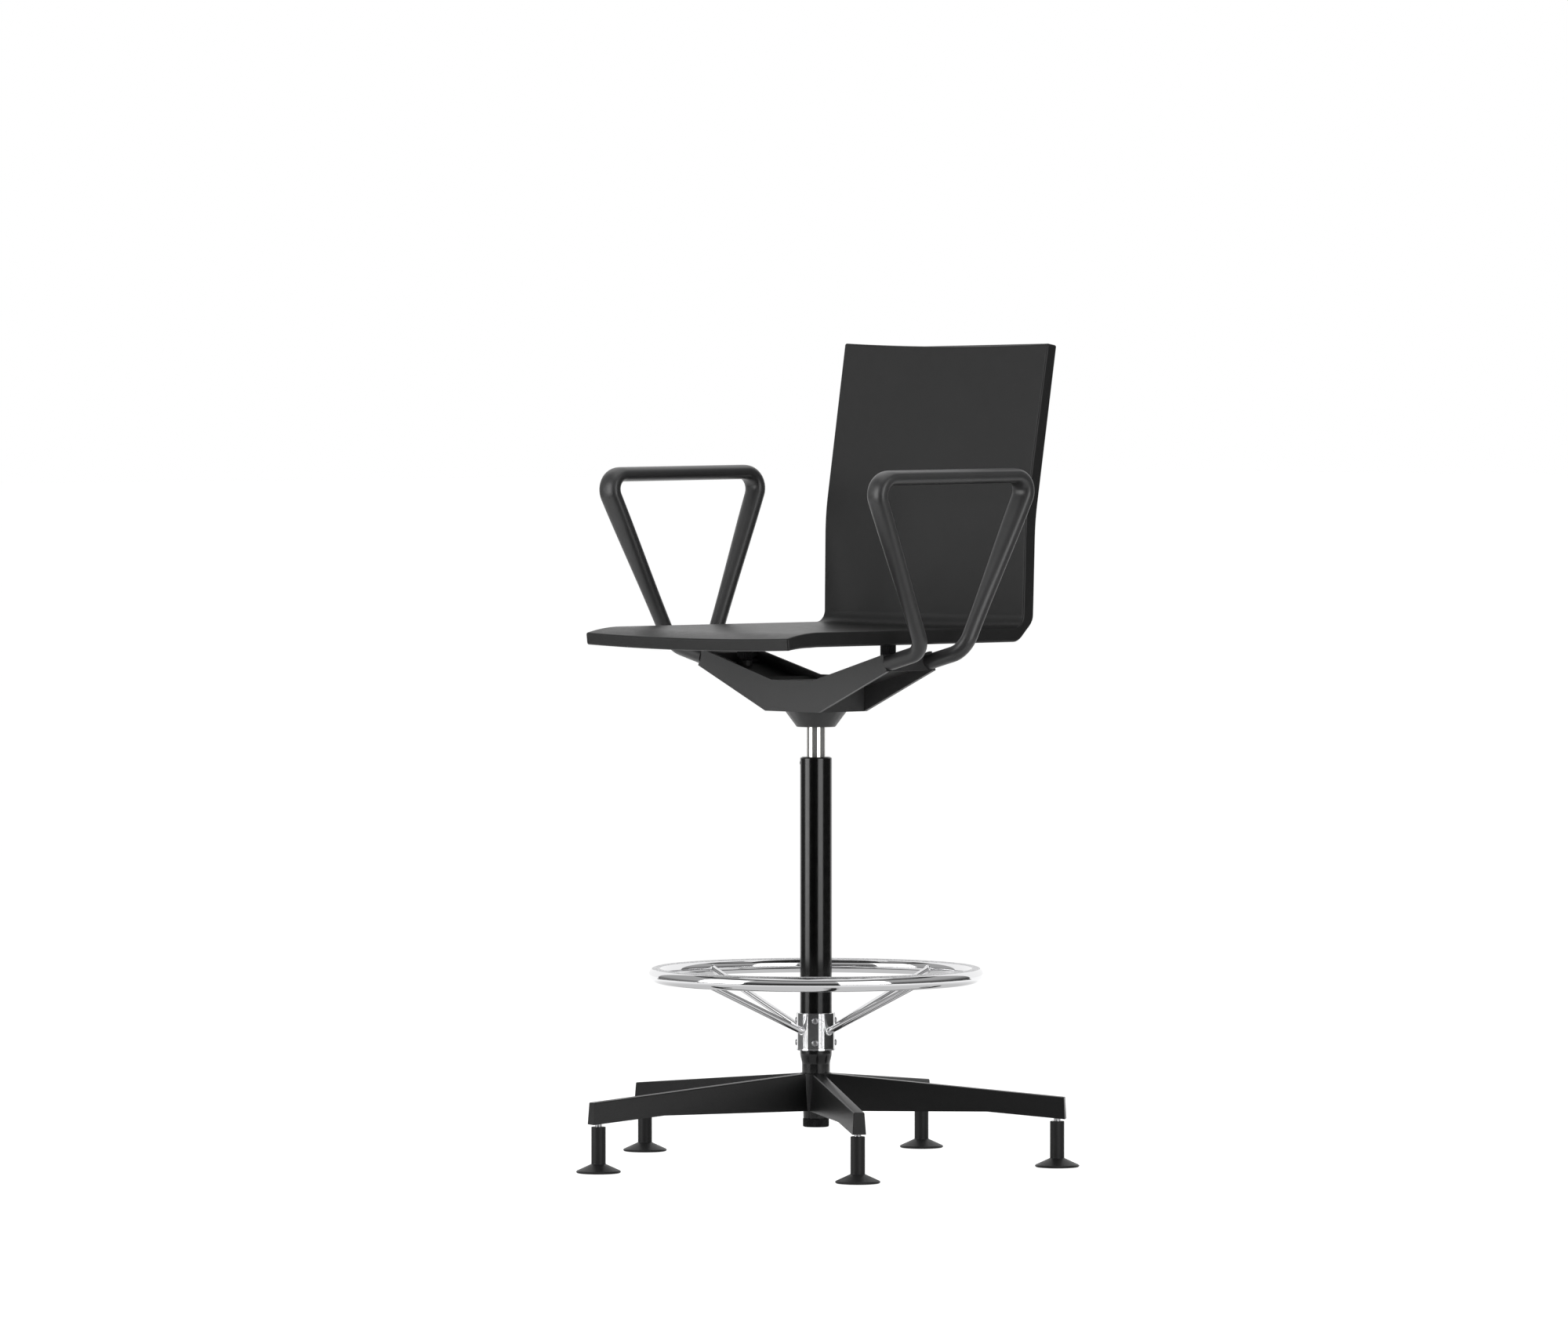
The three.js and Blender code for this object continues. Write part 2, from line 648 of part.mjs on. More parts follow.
add('bearing_washer_lower', tailRing(washerRadius, lowerWasherZ, washerThickness), steel);
add('bearing_needles', tailRing(needleRaceRadius, needleRaceZ, needleRaceThickness), steel);
add('bearing_washer_upper', tailRing(washerRadius, upperWasherZ, washerThickness), steel);
add('rod_clip', washer(thrustBore - rodGroove, clipRadius, clipFootZ, clipTopZ), steel);
add('piston_rod', pistonRod(), steel);
add('bump_stop', washer(rodRadius + fit, bumpStopRadius, bumpStopZ, bumpStopZ + bumpStopHeight), rubber);
add('piston', disc(cylinderBoreRadius - fit, rodTopZ + 0.01, rodTopZ + pistonHeight, roundSides), steel);
add('rod_guide', washer(rodRadius + fit, cylinderBoreRadius - fit, rodGuideZ,
  rodGuideZ + rodGuideHeight, roundSides), steel);
add('gas_cylinder', gasCylinder(), chrome);
add('valve_pin', disc(valvePinRadius, valvePinFootZ, valvePinFootZ + valvePinLength), steel);

// ---------------------------------------------------------------- carrier

const yokeTipTopX = yokeReach - yokeTipSlant;
const yokeTipFootZ = boxFootZ + yokeTipFoot;
const yokeTipTopZ = boxFootZ + yokeTipTop;
const tipInsideX = yokeReach - tipBlockLength;
const roofUnderZ = boxRoofZ - skinThickness;
const wallInsideX = boxHalfLength - skinThickness;

/** The web's underside as [x, z] corners: at the box, at its knee, and level out to the tip. */
const webLine = [
  [boxHalfLength, boxFootZ + webRootHeight],
  [webKneeX, boxFootZ + webKneeHeight],
  [yokeReach, yokeTipFootZ],
];

/** Height of the web's underside at a distance from the middle. */
function webUnderside(x) {
  const [from, to] = x < webKneeX ? webLine.slice(0, 2) : webLine.slice(1);
  return mapLinear(x, from[0], to[0], from[1], to[1]);
}

/** Height of the front plate's sloping top edge at a distance from the middle. */
const yokeTop = (x) => mapLinear(x, flatHalfLength, yokeTipTopX, boxRoofZ, yokeTipTopZ);

/** A side plate's outline, with its top raised by an amount at the V. */
function yokeOutline(raise) {
  const half = [
    [boxHalfLength, boxFootZ], [yokeReach, yokeTipFootZ],
    [yokeTipTopX, yokeTipTopZ + raise / 2], [flatHalfLength, boxRoofZ + raise],
  ];
  return [...half, ...half.map(([x, z]) => [-x, z]).reverse()];
}

/** The room above the web in one arm, between the side plates. */
function troughOutline() {
  const web = [...webLine.filter(([x]) => x < tipInsideX), [tipInsideX, webUnderside(tipInsideX)]];
  const overZ = yokeTipTopZ + rearPlateExtra + 1;
  return [...web.map(([x, z]) => [x, z + webThickness]), [tipInsideX, overZ], [boxHalfLength, overZ]];
}

/** The room under the web in one arm, between the side plates. */
function channelOutline() {
  const lowZ = boxFootZ - 1;
  const outX = yokeReach + 1;
  return [[boxHalfLength, lowZ], [outX, lowZ], [outX, yokeTipFootZ], ...webLine.toReversed()];
}

// Seat bolts come up through the web, their heads sunk into pads that carry the posts.
const underBolt = [postX - seatBoltHeadRadius, postX + seatBoltHeadRadius].map(webUnderside);
const seatBoltSeatZ = Math.max(...underBolt) + seatBoltHeadHeight + 0.5;
const postFootZ = seatBoltSeatZ + postPadThickness;

// Each armrest root sits in a shallow spot face on the yoke's tip, with a spigot inside it.
const rootLine = point(Math.cos(rad(armrestRootRise)), 0, Math.sin(rad(armrestRootRise)));
const rootEntry = point((yokeReach + yokeTipTopX) / 2, armrestRootY, (yokeTipFootZ + yokeTipTopZ) / 2)
  .addScaledVector(rootLine, -rootSpotDepth);

// A screw drops into each spigot from above, its head sunk into the yoke's tip.
const rootScrewX = rootEntry.x - spigotLength / 2;
const rootScrewSeatZ = yokeTop(rootScrewX - armrestScrewHeadRadius) - armrestScrewHeadHeight - 0.5;
const rootScrewFootZ = rootEntry.z - (spigotLength / 2) * Math.tan(rad(armrestRootRise)) - spigotRadius / 2;

// The release lever pivots inside the box and presses the valve pin down.
const leverPivotZ = cylinderTopZ + valvePinShown + fit + leverThickness / 2;
const leverEndZ = webUnderside(leverReach) - leverTipDrop;

/** Middle of the lever's outer arm at a distance from the column's axis. */
const leverZ = (x) => mapLinear(x, leverPivotX, leverReach, leverPivotZ, leverEndZ);

/** What is taken out of the carrier for one armrest root: its spigot, its end face and its screw. */
function rootRoom() {
  const back = rootEntry.clone().addScaledVector(rootLine, -spigotLength - 1);
  const spigot = aim(disc(spigotRadius + fit, 0, spigotLength + 1), back, rootLine);
  const end = aim(disc(armrestThickness / 2 + 1, 0, tipBlockLength), rootEntry, rootLine);
  const overZ = yokeTipTopZ + rearPlateExtra;
  const hole = disc(armrestScrewRadius + fit, rootScrewFootZ - fit, overZ, screwSides);
  const sink = disc(armrestScrewHeadRadius + fit, rootScrewSeatZ, overZ, screwSides);
  const drilled = [hole, sink].map((piece) => piece.translate(rootScrewX, armrestRootY, 0));
  return joined(...[spigot, end, ...drilled].map(solid));
}

/** What is taken out of the carrier for one seat bolt and the post above it. */
function boltRoom() {
  const hole = disc(seatBoltRadius + fit, boxFootZ, postFootZ + 1, screwSides);
  const sink = disc(seatBoltHeadRadius + fit, boxFootZ, seatBoltSeatZ, screwSides);
  const above = disc(postRadius + fit, postFootZ, seatZ);
  return joined(...[hole, sink, above].map((piece) => solid(piece.translate(postX, 0, 0))));
}

function carrier() {
  const half = boxDepth / 2;
  const inside = plateInsideY;
  const bothSides = (body) => [body, body.mirror([1, 0, 0])];
  const blank = joined(
    solid(plate(yokeOutline(0), -half, half)),
    solid(plate(yokeOutline(rearPlateExtra), inside, half)),
  );
  const boxRoom = block([-wallInsideX, -inside, boxFootZ - 1], [wallInsideX, inside, roofUnderZ]);
  const yoke = cut(
    blank, solid(boxRoom),
    ...bothSides(solid(plate(troughOutline(), -inside, inside))),
    ...bothSides(solid(plate(channelOutline(), -inside, inside))),
  );

  const hub = solid(revolve([
    [0, carrierFootZ], [hubConeFootRadius, carrierFootZ], [hubConeTopRadius, boxFootZ],
    [hubConeTopRadius, boxFootZ + 3], [hubNeckRadius, boxFootZ + 6],
    [hubNeckRadius, hubSeatTopZ], [0, hubSeatTopZ],
  ]));
  const ribHalf = skinThickness / 2;
  const ribs = [
    block([-wallInsideX - 1, -ribHalf, boxFootZ], [wallInsideX + 1, ribHalf, hubSeatTopZ - 10]),
    block([-ribHalf, -inside - 1, boxFootZ], [ribHalf, inside + 1, hubSeatTopZ - 4]),
  ];
  const lugs = [-1, 1].map((side) => {
    const middleY = side * (leverWidth / 2 + fit + lugThickness / 2);
    return block(
      [-leverPivotX - lugHalfLength, middleY - lugThickness / 2, leverPivotZ - lugHalfLength],
      [-leverPivotX + lugHalfLength, middleY + lugThickness / 2, roofUnderZ + 1],
    );
  });
  const pad = disc(postRadius, seatBoltSeatZ - webThickness, postFootZ).translate(postX, 0, 0);

  const bore = revolve([
    [0, carrierFootZ - 1], [cylinderRadius + fit, carrierFootZ - 1],
    [cylinderRadius + fit, cylinderTopZ - cylinderConeHeight],
    [cylinderConeTopRadius + fit, cylinderTopZ], [0, cylinderTopZ],
  ]);
  const leverRun = [wallInsideX - 1, leverReach + leverGripOverhang];
  const leverHalf = leverThickness / 2 + leverRoom;
  const leverSlot = plate([
    ...leverRun.map((x) => [-x, leverZ(x) - leverHalf]),
    ...leverRun.toReversed().map((x) => [-x, leverZ(x) + leverHalf]),
  ], -leverWidth / 2 - leverRoom, leverWidth / 2 + leverRoom);
  const pinHole = crossBar(leverPivotRadius + fit, boxDepth / 2, -leverPivotX, leverPivotZ);
  const roots = bothSides(rootRoom()).flatMap((body) => [body, body.mirror([0, 1, 0])]);
  return facets(cut(
    joined(yoke, hub, ...[...ribs, ...lugs].map(solid), ...bothSides(solid(pad))),
    ...[bore, leverSlot, pinHole].map(solid), ...roots, ...bothSides(boltRoom()),
  ));
}

add('carrier', carrier(), castBlack);

// ---------------------------------------------------------------- height release

function releaseLever() {
  const run = [[-leverReach, leverEndZ], [-leverPivotX, leverPivotZ], [valvePinRadius + 2, leverPivotZ]];
  const half = leverThickness / 2;
  const bar = plate([
    ...run.map(([x, z]) => [x, z - half]), ...run.toReversed().map(([x, z]) => [x, z + half]),
  ], -leverWidth / 2, leverWidth / 2);
  const boss = crossBar(leverPivotRadius + leverBossWall, leverWidth, -leverPivotX, leverPivotZ);
  const hole = crossBar(leverPivotRadius + fit, leverWidth + 2, -leverPivotX, leverPivotZ);
  return facets(cut(joined(solid(bar), solid(boss)), solid(hole)));
}

/** The moulded grip that slips over the lever's end. */
function leverGrip() {
  const half = leverGripWidth / 2;
  const narrow = half * 0.7;
  const round = half * 0.5;
  const inner = leverGripOverhang - leverGripLength;
  const edge = leverGripThickness / 6;
  const shape = new THREE.Shape();
  shape.moveTo(inner, -narrow);
  shape.lineTo(leverGripOverhang - round, -half);
  shape.absarc(leverGripOverhang - round, round - half, round, -Math.PI / 2, 0, false);
  shape.absarc(leverGripOverhang - round, half - round, round, 0, Math.PI / 2, false);
  shape.lineTo(inner, narrow);
  const pad = new THREE.ExtrudeGeometry(shape, {
    depth: leverGripThickness - 2 * edge, bevelThickness: edge, bevelSize: edge, bevelOffset: -edge,
    bevelSegments: 1, curveSegments: 3,
  }).translate(0, 0, edge - leverGripThickness / 2);
  const slope = Math.atan2(leverEndZ - leverPivotZ, leverReach - leverPivotX);
  pad.rotateY(-slope).translate(leverReach, 0, leverEndZ).rotateZ(Math.PI);
  const run = [leverReach + fit, leverReach + inner - 1];
  const slotHalf = leverThickness / 2 + fit;
  const slot = plate([
    ...run.map((x) => [-x, leverZ(x) - slotHalf]),
    ...run.toReversed().map((x) => [-x, leverZ(x) + slotHalf]),
  ], -leverWidth / 2 - fit, leverWidth / 2 + fit);
  return facets(cut(solid(pad), solid(slot)));
}

const leverPinLength = leverWidth + 2 * (fit + lugThickness);

add('release_lever', releaseLever(), steel);
add('lever_grip', leverGrip(), plastic);
add('lever_pin', crossBar(leverPivotRadius, leverPinLength, -leverPivotX, leverPivotZ), steel);

// ---------------------------------------------------------------- shell

/** Underside of the shell beside a post, and the heights that follow from it. */
const undersideAtPost = seatZ - shellThickness - shellDish * (1 - (postX / (seatWidthFront / 2)) ** 2);
const postTopZ = undersideAtPost + postSeatDepth;
const insertShoulderZ = postTopZ + insertFlangeThickness;
const insertTopZ = insertShoulderZ + insertBarrelHeight;

/** A place on the sitting face: y and z, the slope in degrees, and the shell's width and thickness. */
function station(y, z, slope, width, thickness = shellThickness, dip = 0) {
  return { y, z, slope: rad(slope), width, thickness, dip };
}

/** The sitting face from the front edge, through the corner, to the top of the back. */
function shellStations() {
  const frontY = seatFrontY + shellEdge;
  const topZ = seatZ + backHeight - shellEdge;
  const seatWidth = (y) => mapLinear(y, seatFrontY, backFaceY, seatWidthFront, waistWidth);
  const backShare = (z) => (z - seatZ) / backHeight;

  const steepest = THREE.MathUtils.radToDeg(Math.atan(seatFrontDrop / seatFrontRoll));
  const front = [0, 0.2, 0.45, 0.72, 1].map((t) => {
    const y = frontY + seatFrontRoll * t;
    const z = seatZ - seatFrontDrop * (1 - t) ** 2;
    const thickness = lerp(shellFrontThickness, shellThickness, Math.min(1, t * 1.4));
    return station(y, z, steepest * (1 - t), seatWidth(y), thickness);
  });

  const lean = rad(backLowerLean);
  const tangent = (innerCornerRadius * (1 - Math.sin(lean))) / Math.cos(lean);
  const cornerY = backFaceY + tangent * Math.sin(lean) - innerCornerRadius * Math.cos(lean);
  const seat = [0.35, 0.7].map((t) => {
    const y = lerp(frontY + seatFrontRoll, cornerY, t);
    return station(y, seatZ, 0, seatWidth(y));
  });
  const corner = [0, 1 / 6, 2 / 6, 3 / 6, 4 / 6, 5 / 6, 1].map((t) => {
    const slope = (90 - backLowerLean) * t;
    const y = cornerY + innerCornerRadius * Math.sin(rad(slope));
    const z = seatZ + innerCornerRadius * (1 - Math.cos(rad(slope)));
    return station(y, z, slope, waistWidth, shellThickness - shellCornerThinning * Math.sin(Math.PI * t));
  });

  const backWidth = (z) => lerp(waistWidth, backWidthTop, backShare(z));
  const turn = rad(backLean - backLowerLean);
  const bendRadius = backBendLength / turn;
  const bendZ = seatZ + backBendHeight - bendRadius * Math.tan(turn / 2) * Math.cos(lean);
  const bendY = backFaceY + (bendZ - seatZ) * Math.tan(lean);
  const bend = [0, 0.25, 0.5, 0.75, 1].map((t) => {
    const angle = lean + turn * t;
    const y = bendY + bendRadius * (Math.cos(lean) - Math.cos(angle));
    const z = bendZ + bendRadius * (Math.sin(angle) - Math.sin(lean));
    return station(y, z, 90 - lerp(backLowerLean, backLean, t), backWidth(z));
  });

  const bendEnd = bend.at(-1);
  const back = [0.4, 0.75, 1].map((t) => {
    const z = lerp(bendEnd.z, topZ, t);
    const y = bendEnd.y + (z - bendEnd.z) * Math.tan(rad(backLean));
    const dip = backTopDip * Math.max(0, t * 4 - 3);
    return station(y, z, 90 - backLean, backWidth(z), lerp(shellThickness, shellTopThickness, t), dip);
  });
  return [...front, ...seat, ...corner, ...bend, ...back];
}

/** Across the shell: a dished slab with rounded edges, as flat corners with the sitting face on top. */
function shellSection(halfWidth, thickness) {
  const across = 6;
  const edgeX = halfWidth - shellEdge;
  const edgeArc = (centreX, centreZ, from) => [0, 45, 90].map((step) => {
    const angle = rad(from + step);
    return [centreX + shellEdge * Math.cos(angle), centreZ + shellEdge * Math.sin(angle)];
  });
  const between = (from, z) => counted(across - 1, (i) => [from * (1 - (2 * (i + 1)) / across), z]);
  const corners = [
    ...edgeArc(edgeX, shellEdge - thickness, -90), ...edgeArc(edgeX, -shellEdge, 0),
    ...between(edgeX, 0),
    ...edgeArc(-edgeX, -shellEdge, 90), ...edgeArc(-edgeX, shellEdge - thickness, 180),
    ...between(-edgeX, -thickness),
  ];
  return corners.map(([x, z]) => flat(x, z - shellDish * (1 - (x / halfWidth) ** 2)));
}

/** The section set across the sitting face at a station, drawn in all round by an inset. */
function shellRing(place, inset = 0, ahead = 0) {
  const halfWidth = place.width / 2;
  const up = point(0, -Math.sin(place.slope), Math.cos(place.slope));
  const along = point(0, Math.cos(place.slope), Math.sin(place.slope));
  return shellSection(halfWidth - inset, place.thickness - 2 * inset).map((corner) => {
    const dip = place.dip * (1 - (corner.x / halfWidth) ** 2);
    return point(-corner.x, place.y, place.z)
      .addScaledVector(up, corner.y - inset)
      .addScaledVector(along, ahead - dip);
  });
}

function shell() {
  const stations = shellStations();
  // The front and top edges are rounded like the sides.
  const rounded = (place, direction) => [45, 90].map((angle) => {
    const inset = shellEdge * (1 - Math.cos(rad(angle)));
    return shellRing(place, inset, direction * shellEdge * Math.sin(rad(angle)));
  });
  const rings = [
    ...rounded(stations[0], -1).reverse(),
    ...stations.map((place) => shellRing(place)),
    ...rounded(stations.at(-1), 1),
  ];
  const body = solid(loft(rings, shellSection(waistWidth / 2, shellThickness)));
  const pockets = [postX, -postX].flatMap((x) => [
    disc(postRadius + 0.6, postFootZ, postTopZ),
    disc(insertFlangeRadius + fit, postTopZ - 1, insertShoulderZ + fit),
    disc(insertBarrelRadius + fit, postTopZ, insertTopZ + fit),
  ].map((piece) => solid(piece.translate(x, 0, 0))));
  return facets(cut(body, ...pockets));
}

add('shell', shell(), moulded);

// ---------------------------------------------------------------- posts and seat bolts

function seatPost() {
  const drum = flutedDrum(postRadius, postRibCount, postRibDepth, postTopZ - postFootZ - 2 * fit);
  const bore = disc(seatBoltRadius + fit, -1, postTopZ - postFootZ, screwSides);
  return facets(cut(solid(drum), solid(bore))).translate(0, 0, postFootZ + fit);
}

function seatInsert() {
  const bore = seatBoltRadius + fit;
  return revolve([
    [bore, postTopZ], [insertFlangeRadius, postTopZ], [insertFlangeRadius, insertShoulderZ],
    [insertBarrelRadius, insertShoulderZ], [insertBarrelRadius, insertTopZ], [bore, insertTopZ],
  ], smallSides);
}

/** A seat bolt, head down in its pad. */
function seatBolt() {
  const headZ = seatBoltSeatZ - fit;
  const bolt = socketScrew(seatBoltRadius, insertTopZ - 1 - headZ, seatBoltHeadRadius, seatBoltHeadHeight);
  return bolt.rotateX(Math.PI).translate(0, 0, headZ);
}

for (const [side, name] of [[1, 'left'], [-1, 'right']]) {
  const place = turned(side > 0 ? 0 : 180, postX);
  add(`seat_post_${name}`, seatPost(), rubber, place);
  add(`seat_insert_${name}`, seatInsert(), steel, place);
  add(`seat_bolt_${name}`, seatBolt(), steel, place);
}

// ---------------------------------------------------------------- armrests

/** The corners on one side of the centre line, from the root to the top bar, each with its bend. */
function armrestSide(topY, height, sign) {
  const leg = (z) => {
    const share = (z - seatZ) / height;
    return point(lerp(armrestSeatX, armrestTopX, share), sign * lerp(armrestSeatY, topY, share), z);
  };
  // The foot is where the root's line meets the leg's line, seen from the front.
  const climb = Math.tan(rad(armrestRootRise));
  const legLean = (armrestTopX - armrestSeatX) / height;
  const rise = ((armrestSeatX - rootEntry.x) + (rootEntry.z - seatZ) * legLean) / (1 / climb - legLean);
  const entry = rootEntry.clone().addScaledVector(rootLine, fit);
  return [
    { at: entry.setY(sign * entry.y), round: 0 },
    { at: leg(rootEntry.z + rise), round: armrestFootRound },
    { at: leg(seatZ + height), round: armrestTopRound },
  ];
}

/** The centre line as points, with an arc at each corner and a step on each straight. */
function armrestPath() {
  const rear = armrestSide(armrestRearY, armrestHeight + armrestRearRise, 1);
  const front = armrestSide(armrestFrontY, armrestHeight, -1);
  const corners = [...rear, ...front.reverse()];
  const points = [corners[0].at];
  const steps = 4;
  for (let i = 1; i + 1 < corners.length; i += 1) {
    const { at, round } = corners[i];
    const back = corners[i - 1].at.clone().sub(at).normalize();
    const ahead = corners[i + 1].at.clone().sub(at).normalize();
    const half = back.angleTo(ahead) / 2;
    const start = at.clone().addScaledVector(back, round / Math.tan(half));
    const inwards = back.clone().add(ahead).normalize();
    const centre = at.clone().addScaledVector(inwards, round / Math.sin(half));
    const axis = new THREE.Vector3().crossVectors(ahead, back).normalize();
    const arm = start.clone().sub(centre);
    points.push(points.at(-1).clone().lerp(start, 0.5));
    points.push(...counted(steps + 1, (k) => arm.clone()
      .applyAxisAngle(axis, ((Math.PI - 2 * half) * k) / steps)
      .add(centre)));
  }
  return [...points, corners.at(-1).at];
}

/** The armrest's section: a wide oval at the top, round at the roots. */
function armrestOval(z) {
  const share = THREE.MathUtils.smoothstep(z, seatZ - 10, seatZ + armrestHeight * 0.9);
  const halfWidth = lerp(armrestFootWidth, armrestTopWidth, share) / 2;
  const halfDepth = lerp(armrestThickness, armrestTopThickness, share) / 2;
  const power = 2 / lerp(2, 2.5, share);
  const bulge = (value) => Math.sign(value) * Math.abs(value) ** power;
  return counted(armrestSides, (i) => {
    const angle = ((i + 0.5) * 2 * Math.PI) / armrestSides;
    return flat(halfWidth * bulge(Math.cos(angle)), halfDepth * bulge(Math.sin(angle)));
  });
}

/** The bar swept along the centre line, its wide side carried along from the middle of the top. */
function armrestBar() {
  const path = armrestPath();
  const tangents = path.map((p, i) => {
    const before = path[Math.max(0, i - 1)];
    const after = path[Math.min(path.length - 1, i + 1)];
    return after.clone().sub(before).normalize();
  });
  // Both ends are square to the roots' line, to sit flat on the carrier.
  tangents[0].copy(rootLine);
  tangents.at(-1).copy(rootLine).negate();
  const wide = [];
  const middle = Math.floor(path.length / 2);
  wide[middle] = point(1, 0, 0);
  const carry = (from, to) => {
    const turn = new THREE.Quaternion().setFromUnitVectors(tangents[from], tangents[to]);
    wide[to] = wide[from].clone().applyQuaternion(turn);
  };
  for (let i = middle; i + 1 < path.length; i += 1) carry(i, i + 1);
  for (let i = middle; i > 0; i -= 1) carry(i, i - 1);
  const rings = path.map((p, i) => {
    const deep = new THREE.Vector3().crossVectors(tangents[i], wide[i]);
    return armrestOval(p.z).map((c) => p.clone().addScaledVector(wide[i], c.x).addScaledVector(deep, c.y));
  });
  return solid(loft(rings, armrestOval(seatZ)));
}

function armrest() {
  const spigots = [-1, 1].map((sign) => {
    const inner = rootEntry.clone().addScaledVector(rootLine, -spigotLength).setY(sign * armrestRootY);
    const shaft = aim(disc(spigotRadius, 0, spigotLength + armrestThickness), inner, rootLine);
    const hole = disc(armrestScrewRadius + fit, rootScrewFootZ - fit, seatZ, screwSides);
    return cut(solid(shaft), solid(hole.translate(rootScrewX, sign * armrestRootY, 0)));
  });
  return joined(armrestBar(), ...spigots);
}

function armrestScrew() {
  const length = rootScrewSeatZ - rootScrewFootZ;
  const screw = socketScrew(armrestScrewRadius, length, armrestScrewHeadRadius, armrestScrewHeadHeight);
  return screw.translate(0, 0, rootScrewSeatZ + fit);
}

add('armrest_left', facets(armrest()), moulded);
add('armrest_right', facets(armrest().mirror([1, 0, 0])), moulded);
for (const [side, name] of [[1, 'left'], [-1, 'right']]) {
  for (const [end, where] of [[-1, 'front'], [1, 'rear']]) {
    const screw = armrestScrew().translate(side * rootScrewX, end * armrestRootY, 0);
    add(`armrest_screw_${name}_${where}`, screw, steel);
  }
}

// ---------------------------------------------------------------- origin

chair.updateMatrixWorld(true);
const bounds = new THREE.Box3().setFromObject(chair, true);
const middleOfChair = bounds.getCenter(new THREE.Vector3());
chair.position.set(-middleOfChair.x, -middleOfChair.y, -bounds.min.z);
chair.updateMatrixWorld(true);

export default chair;
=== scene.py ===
"""Drafting chair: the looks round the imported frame.

The scene is in metres. Shapes are worked out in millimetres from the column's axis on the floor.
"""
import json
import math

import bmesh
import bpy
from mathutils import Matrix, Vector

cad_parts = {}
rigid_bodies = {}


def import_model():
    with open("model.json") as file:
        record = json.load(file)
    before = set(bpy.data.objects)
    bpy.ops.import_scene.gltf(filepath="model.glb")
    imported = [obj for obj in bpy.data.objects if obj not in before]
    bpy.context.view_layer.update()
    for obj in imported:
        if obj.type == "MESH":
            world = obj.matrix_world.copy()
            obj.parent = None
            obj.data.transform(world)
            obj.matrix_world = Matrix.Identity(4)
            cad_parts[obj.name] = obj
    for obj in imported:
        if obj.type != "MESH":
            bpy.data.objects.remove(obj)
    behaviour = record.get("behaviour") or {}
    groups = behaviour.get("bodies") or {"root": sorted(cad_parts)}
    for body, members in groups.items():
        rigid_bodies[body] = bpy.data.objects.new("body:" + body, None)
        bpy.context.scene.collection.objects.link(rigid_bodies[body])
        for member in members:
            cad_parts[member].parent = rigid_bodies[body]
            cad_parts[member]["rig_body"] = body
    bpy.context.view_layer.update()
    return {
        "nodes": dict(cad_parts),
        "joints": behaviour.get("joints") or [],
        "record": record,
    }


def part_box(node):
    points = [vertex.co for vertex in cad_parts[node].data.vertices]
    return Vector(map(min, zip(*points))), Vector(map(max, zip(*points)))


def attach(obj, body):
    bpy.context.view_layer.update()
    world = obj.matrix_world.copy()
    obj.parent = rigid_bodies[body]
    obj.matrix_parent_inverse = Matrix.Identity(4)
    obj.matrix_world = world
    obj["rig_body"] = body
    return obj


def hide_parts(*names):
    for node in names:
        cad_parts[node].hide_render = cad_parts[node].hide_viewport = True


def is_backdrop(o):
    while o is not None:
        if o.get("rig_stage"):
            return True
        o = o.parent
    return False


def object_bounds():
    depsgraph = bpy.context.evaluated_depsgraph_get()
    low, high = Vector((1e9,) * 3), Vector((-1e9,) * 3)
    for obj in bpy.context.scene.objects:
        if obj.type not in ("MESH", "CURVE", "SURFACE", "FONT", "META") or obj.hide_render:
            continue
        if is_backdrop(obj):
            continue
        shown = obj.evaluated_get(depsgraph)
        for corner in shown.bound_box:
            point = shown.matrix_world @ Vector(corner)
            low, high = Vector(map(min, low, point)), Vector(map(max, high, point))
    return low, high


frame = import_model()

MM = 0.001
JOINTS = {joint["name"]: joint for joint in frame["joints"]}
AXIS = Vector((*JOINTS["seat_swivel"]["pos_m"][:2], 0))

# ------------------------------------------------------------------ camera

CAMERA_AZIMUTH = 47.5                   # degrees
CAMERA_PITCH = 1.72                     # degrees below level
CAMERA_PLACE = Vector((11.279, -10.399, 1.2033))
SENSOR_WIDTH = 36
LENS = 240.1
VIEW_DEPTH = 200


def make_camera():
    data = bpy.data.cameras.new("camera")
    data.sensor_width = SENSOR_WIDTH
    data.lens = LENS
    data.clip_end = VIEW_DEPTH
    camera = bpy.data.objects.new("camera", data)
    bpy.context.scene.collection.objects.link(camera)
    camera.location = AXIS + CAMERA_PLACE
    camera.rotation_euler = (math.radians(90 - CAMERA_PITCH), 0, math.radians(CAMERA_AZIMUTH))
    bpy.context.scene.camera = camera


make_camera()

# ------------------------------------------------------------------ where the frame's parts are


def local_box(node):
    """A CAD node's corners in millimetres, measured from the column's axis on the floor."""
    low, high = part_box(node)
    return (low - AXIS) / MM, (high - AXIS) / MM


def middle(node):
    low, high = local_box(node)
    return (low + high) / 2


def half_width(node):
    low, high = local_box(node)
    return (high.x - low.x) / 2


def reach_along(node, line):
    """How far a CAD node reaches along a line, lowest and highest, in millimetres."""
    reach = [((v.co - AXIS) / MM).dot(line) for v in frame["nodes"][node].data.vertices]
    return min(reach), max(reach)


RING_TUBE = 11
RING_Z = middle("foot_ring").z
RING_RADIUS = half_width("foot_ring") - RING_TUBE

# ------------------------------------------------------------------ node materials

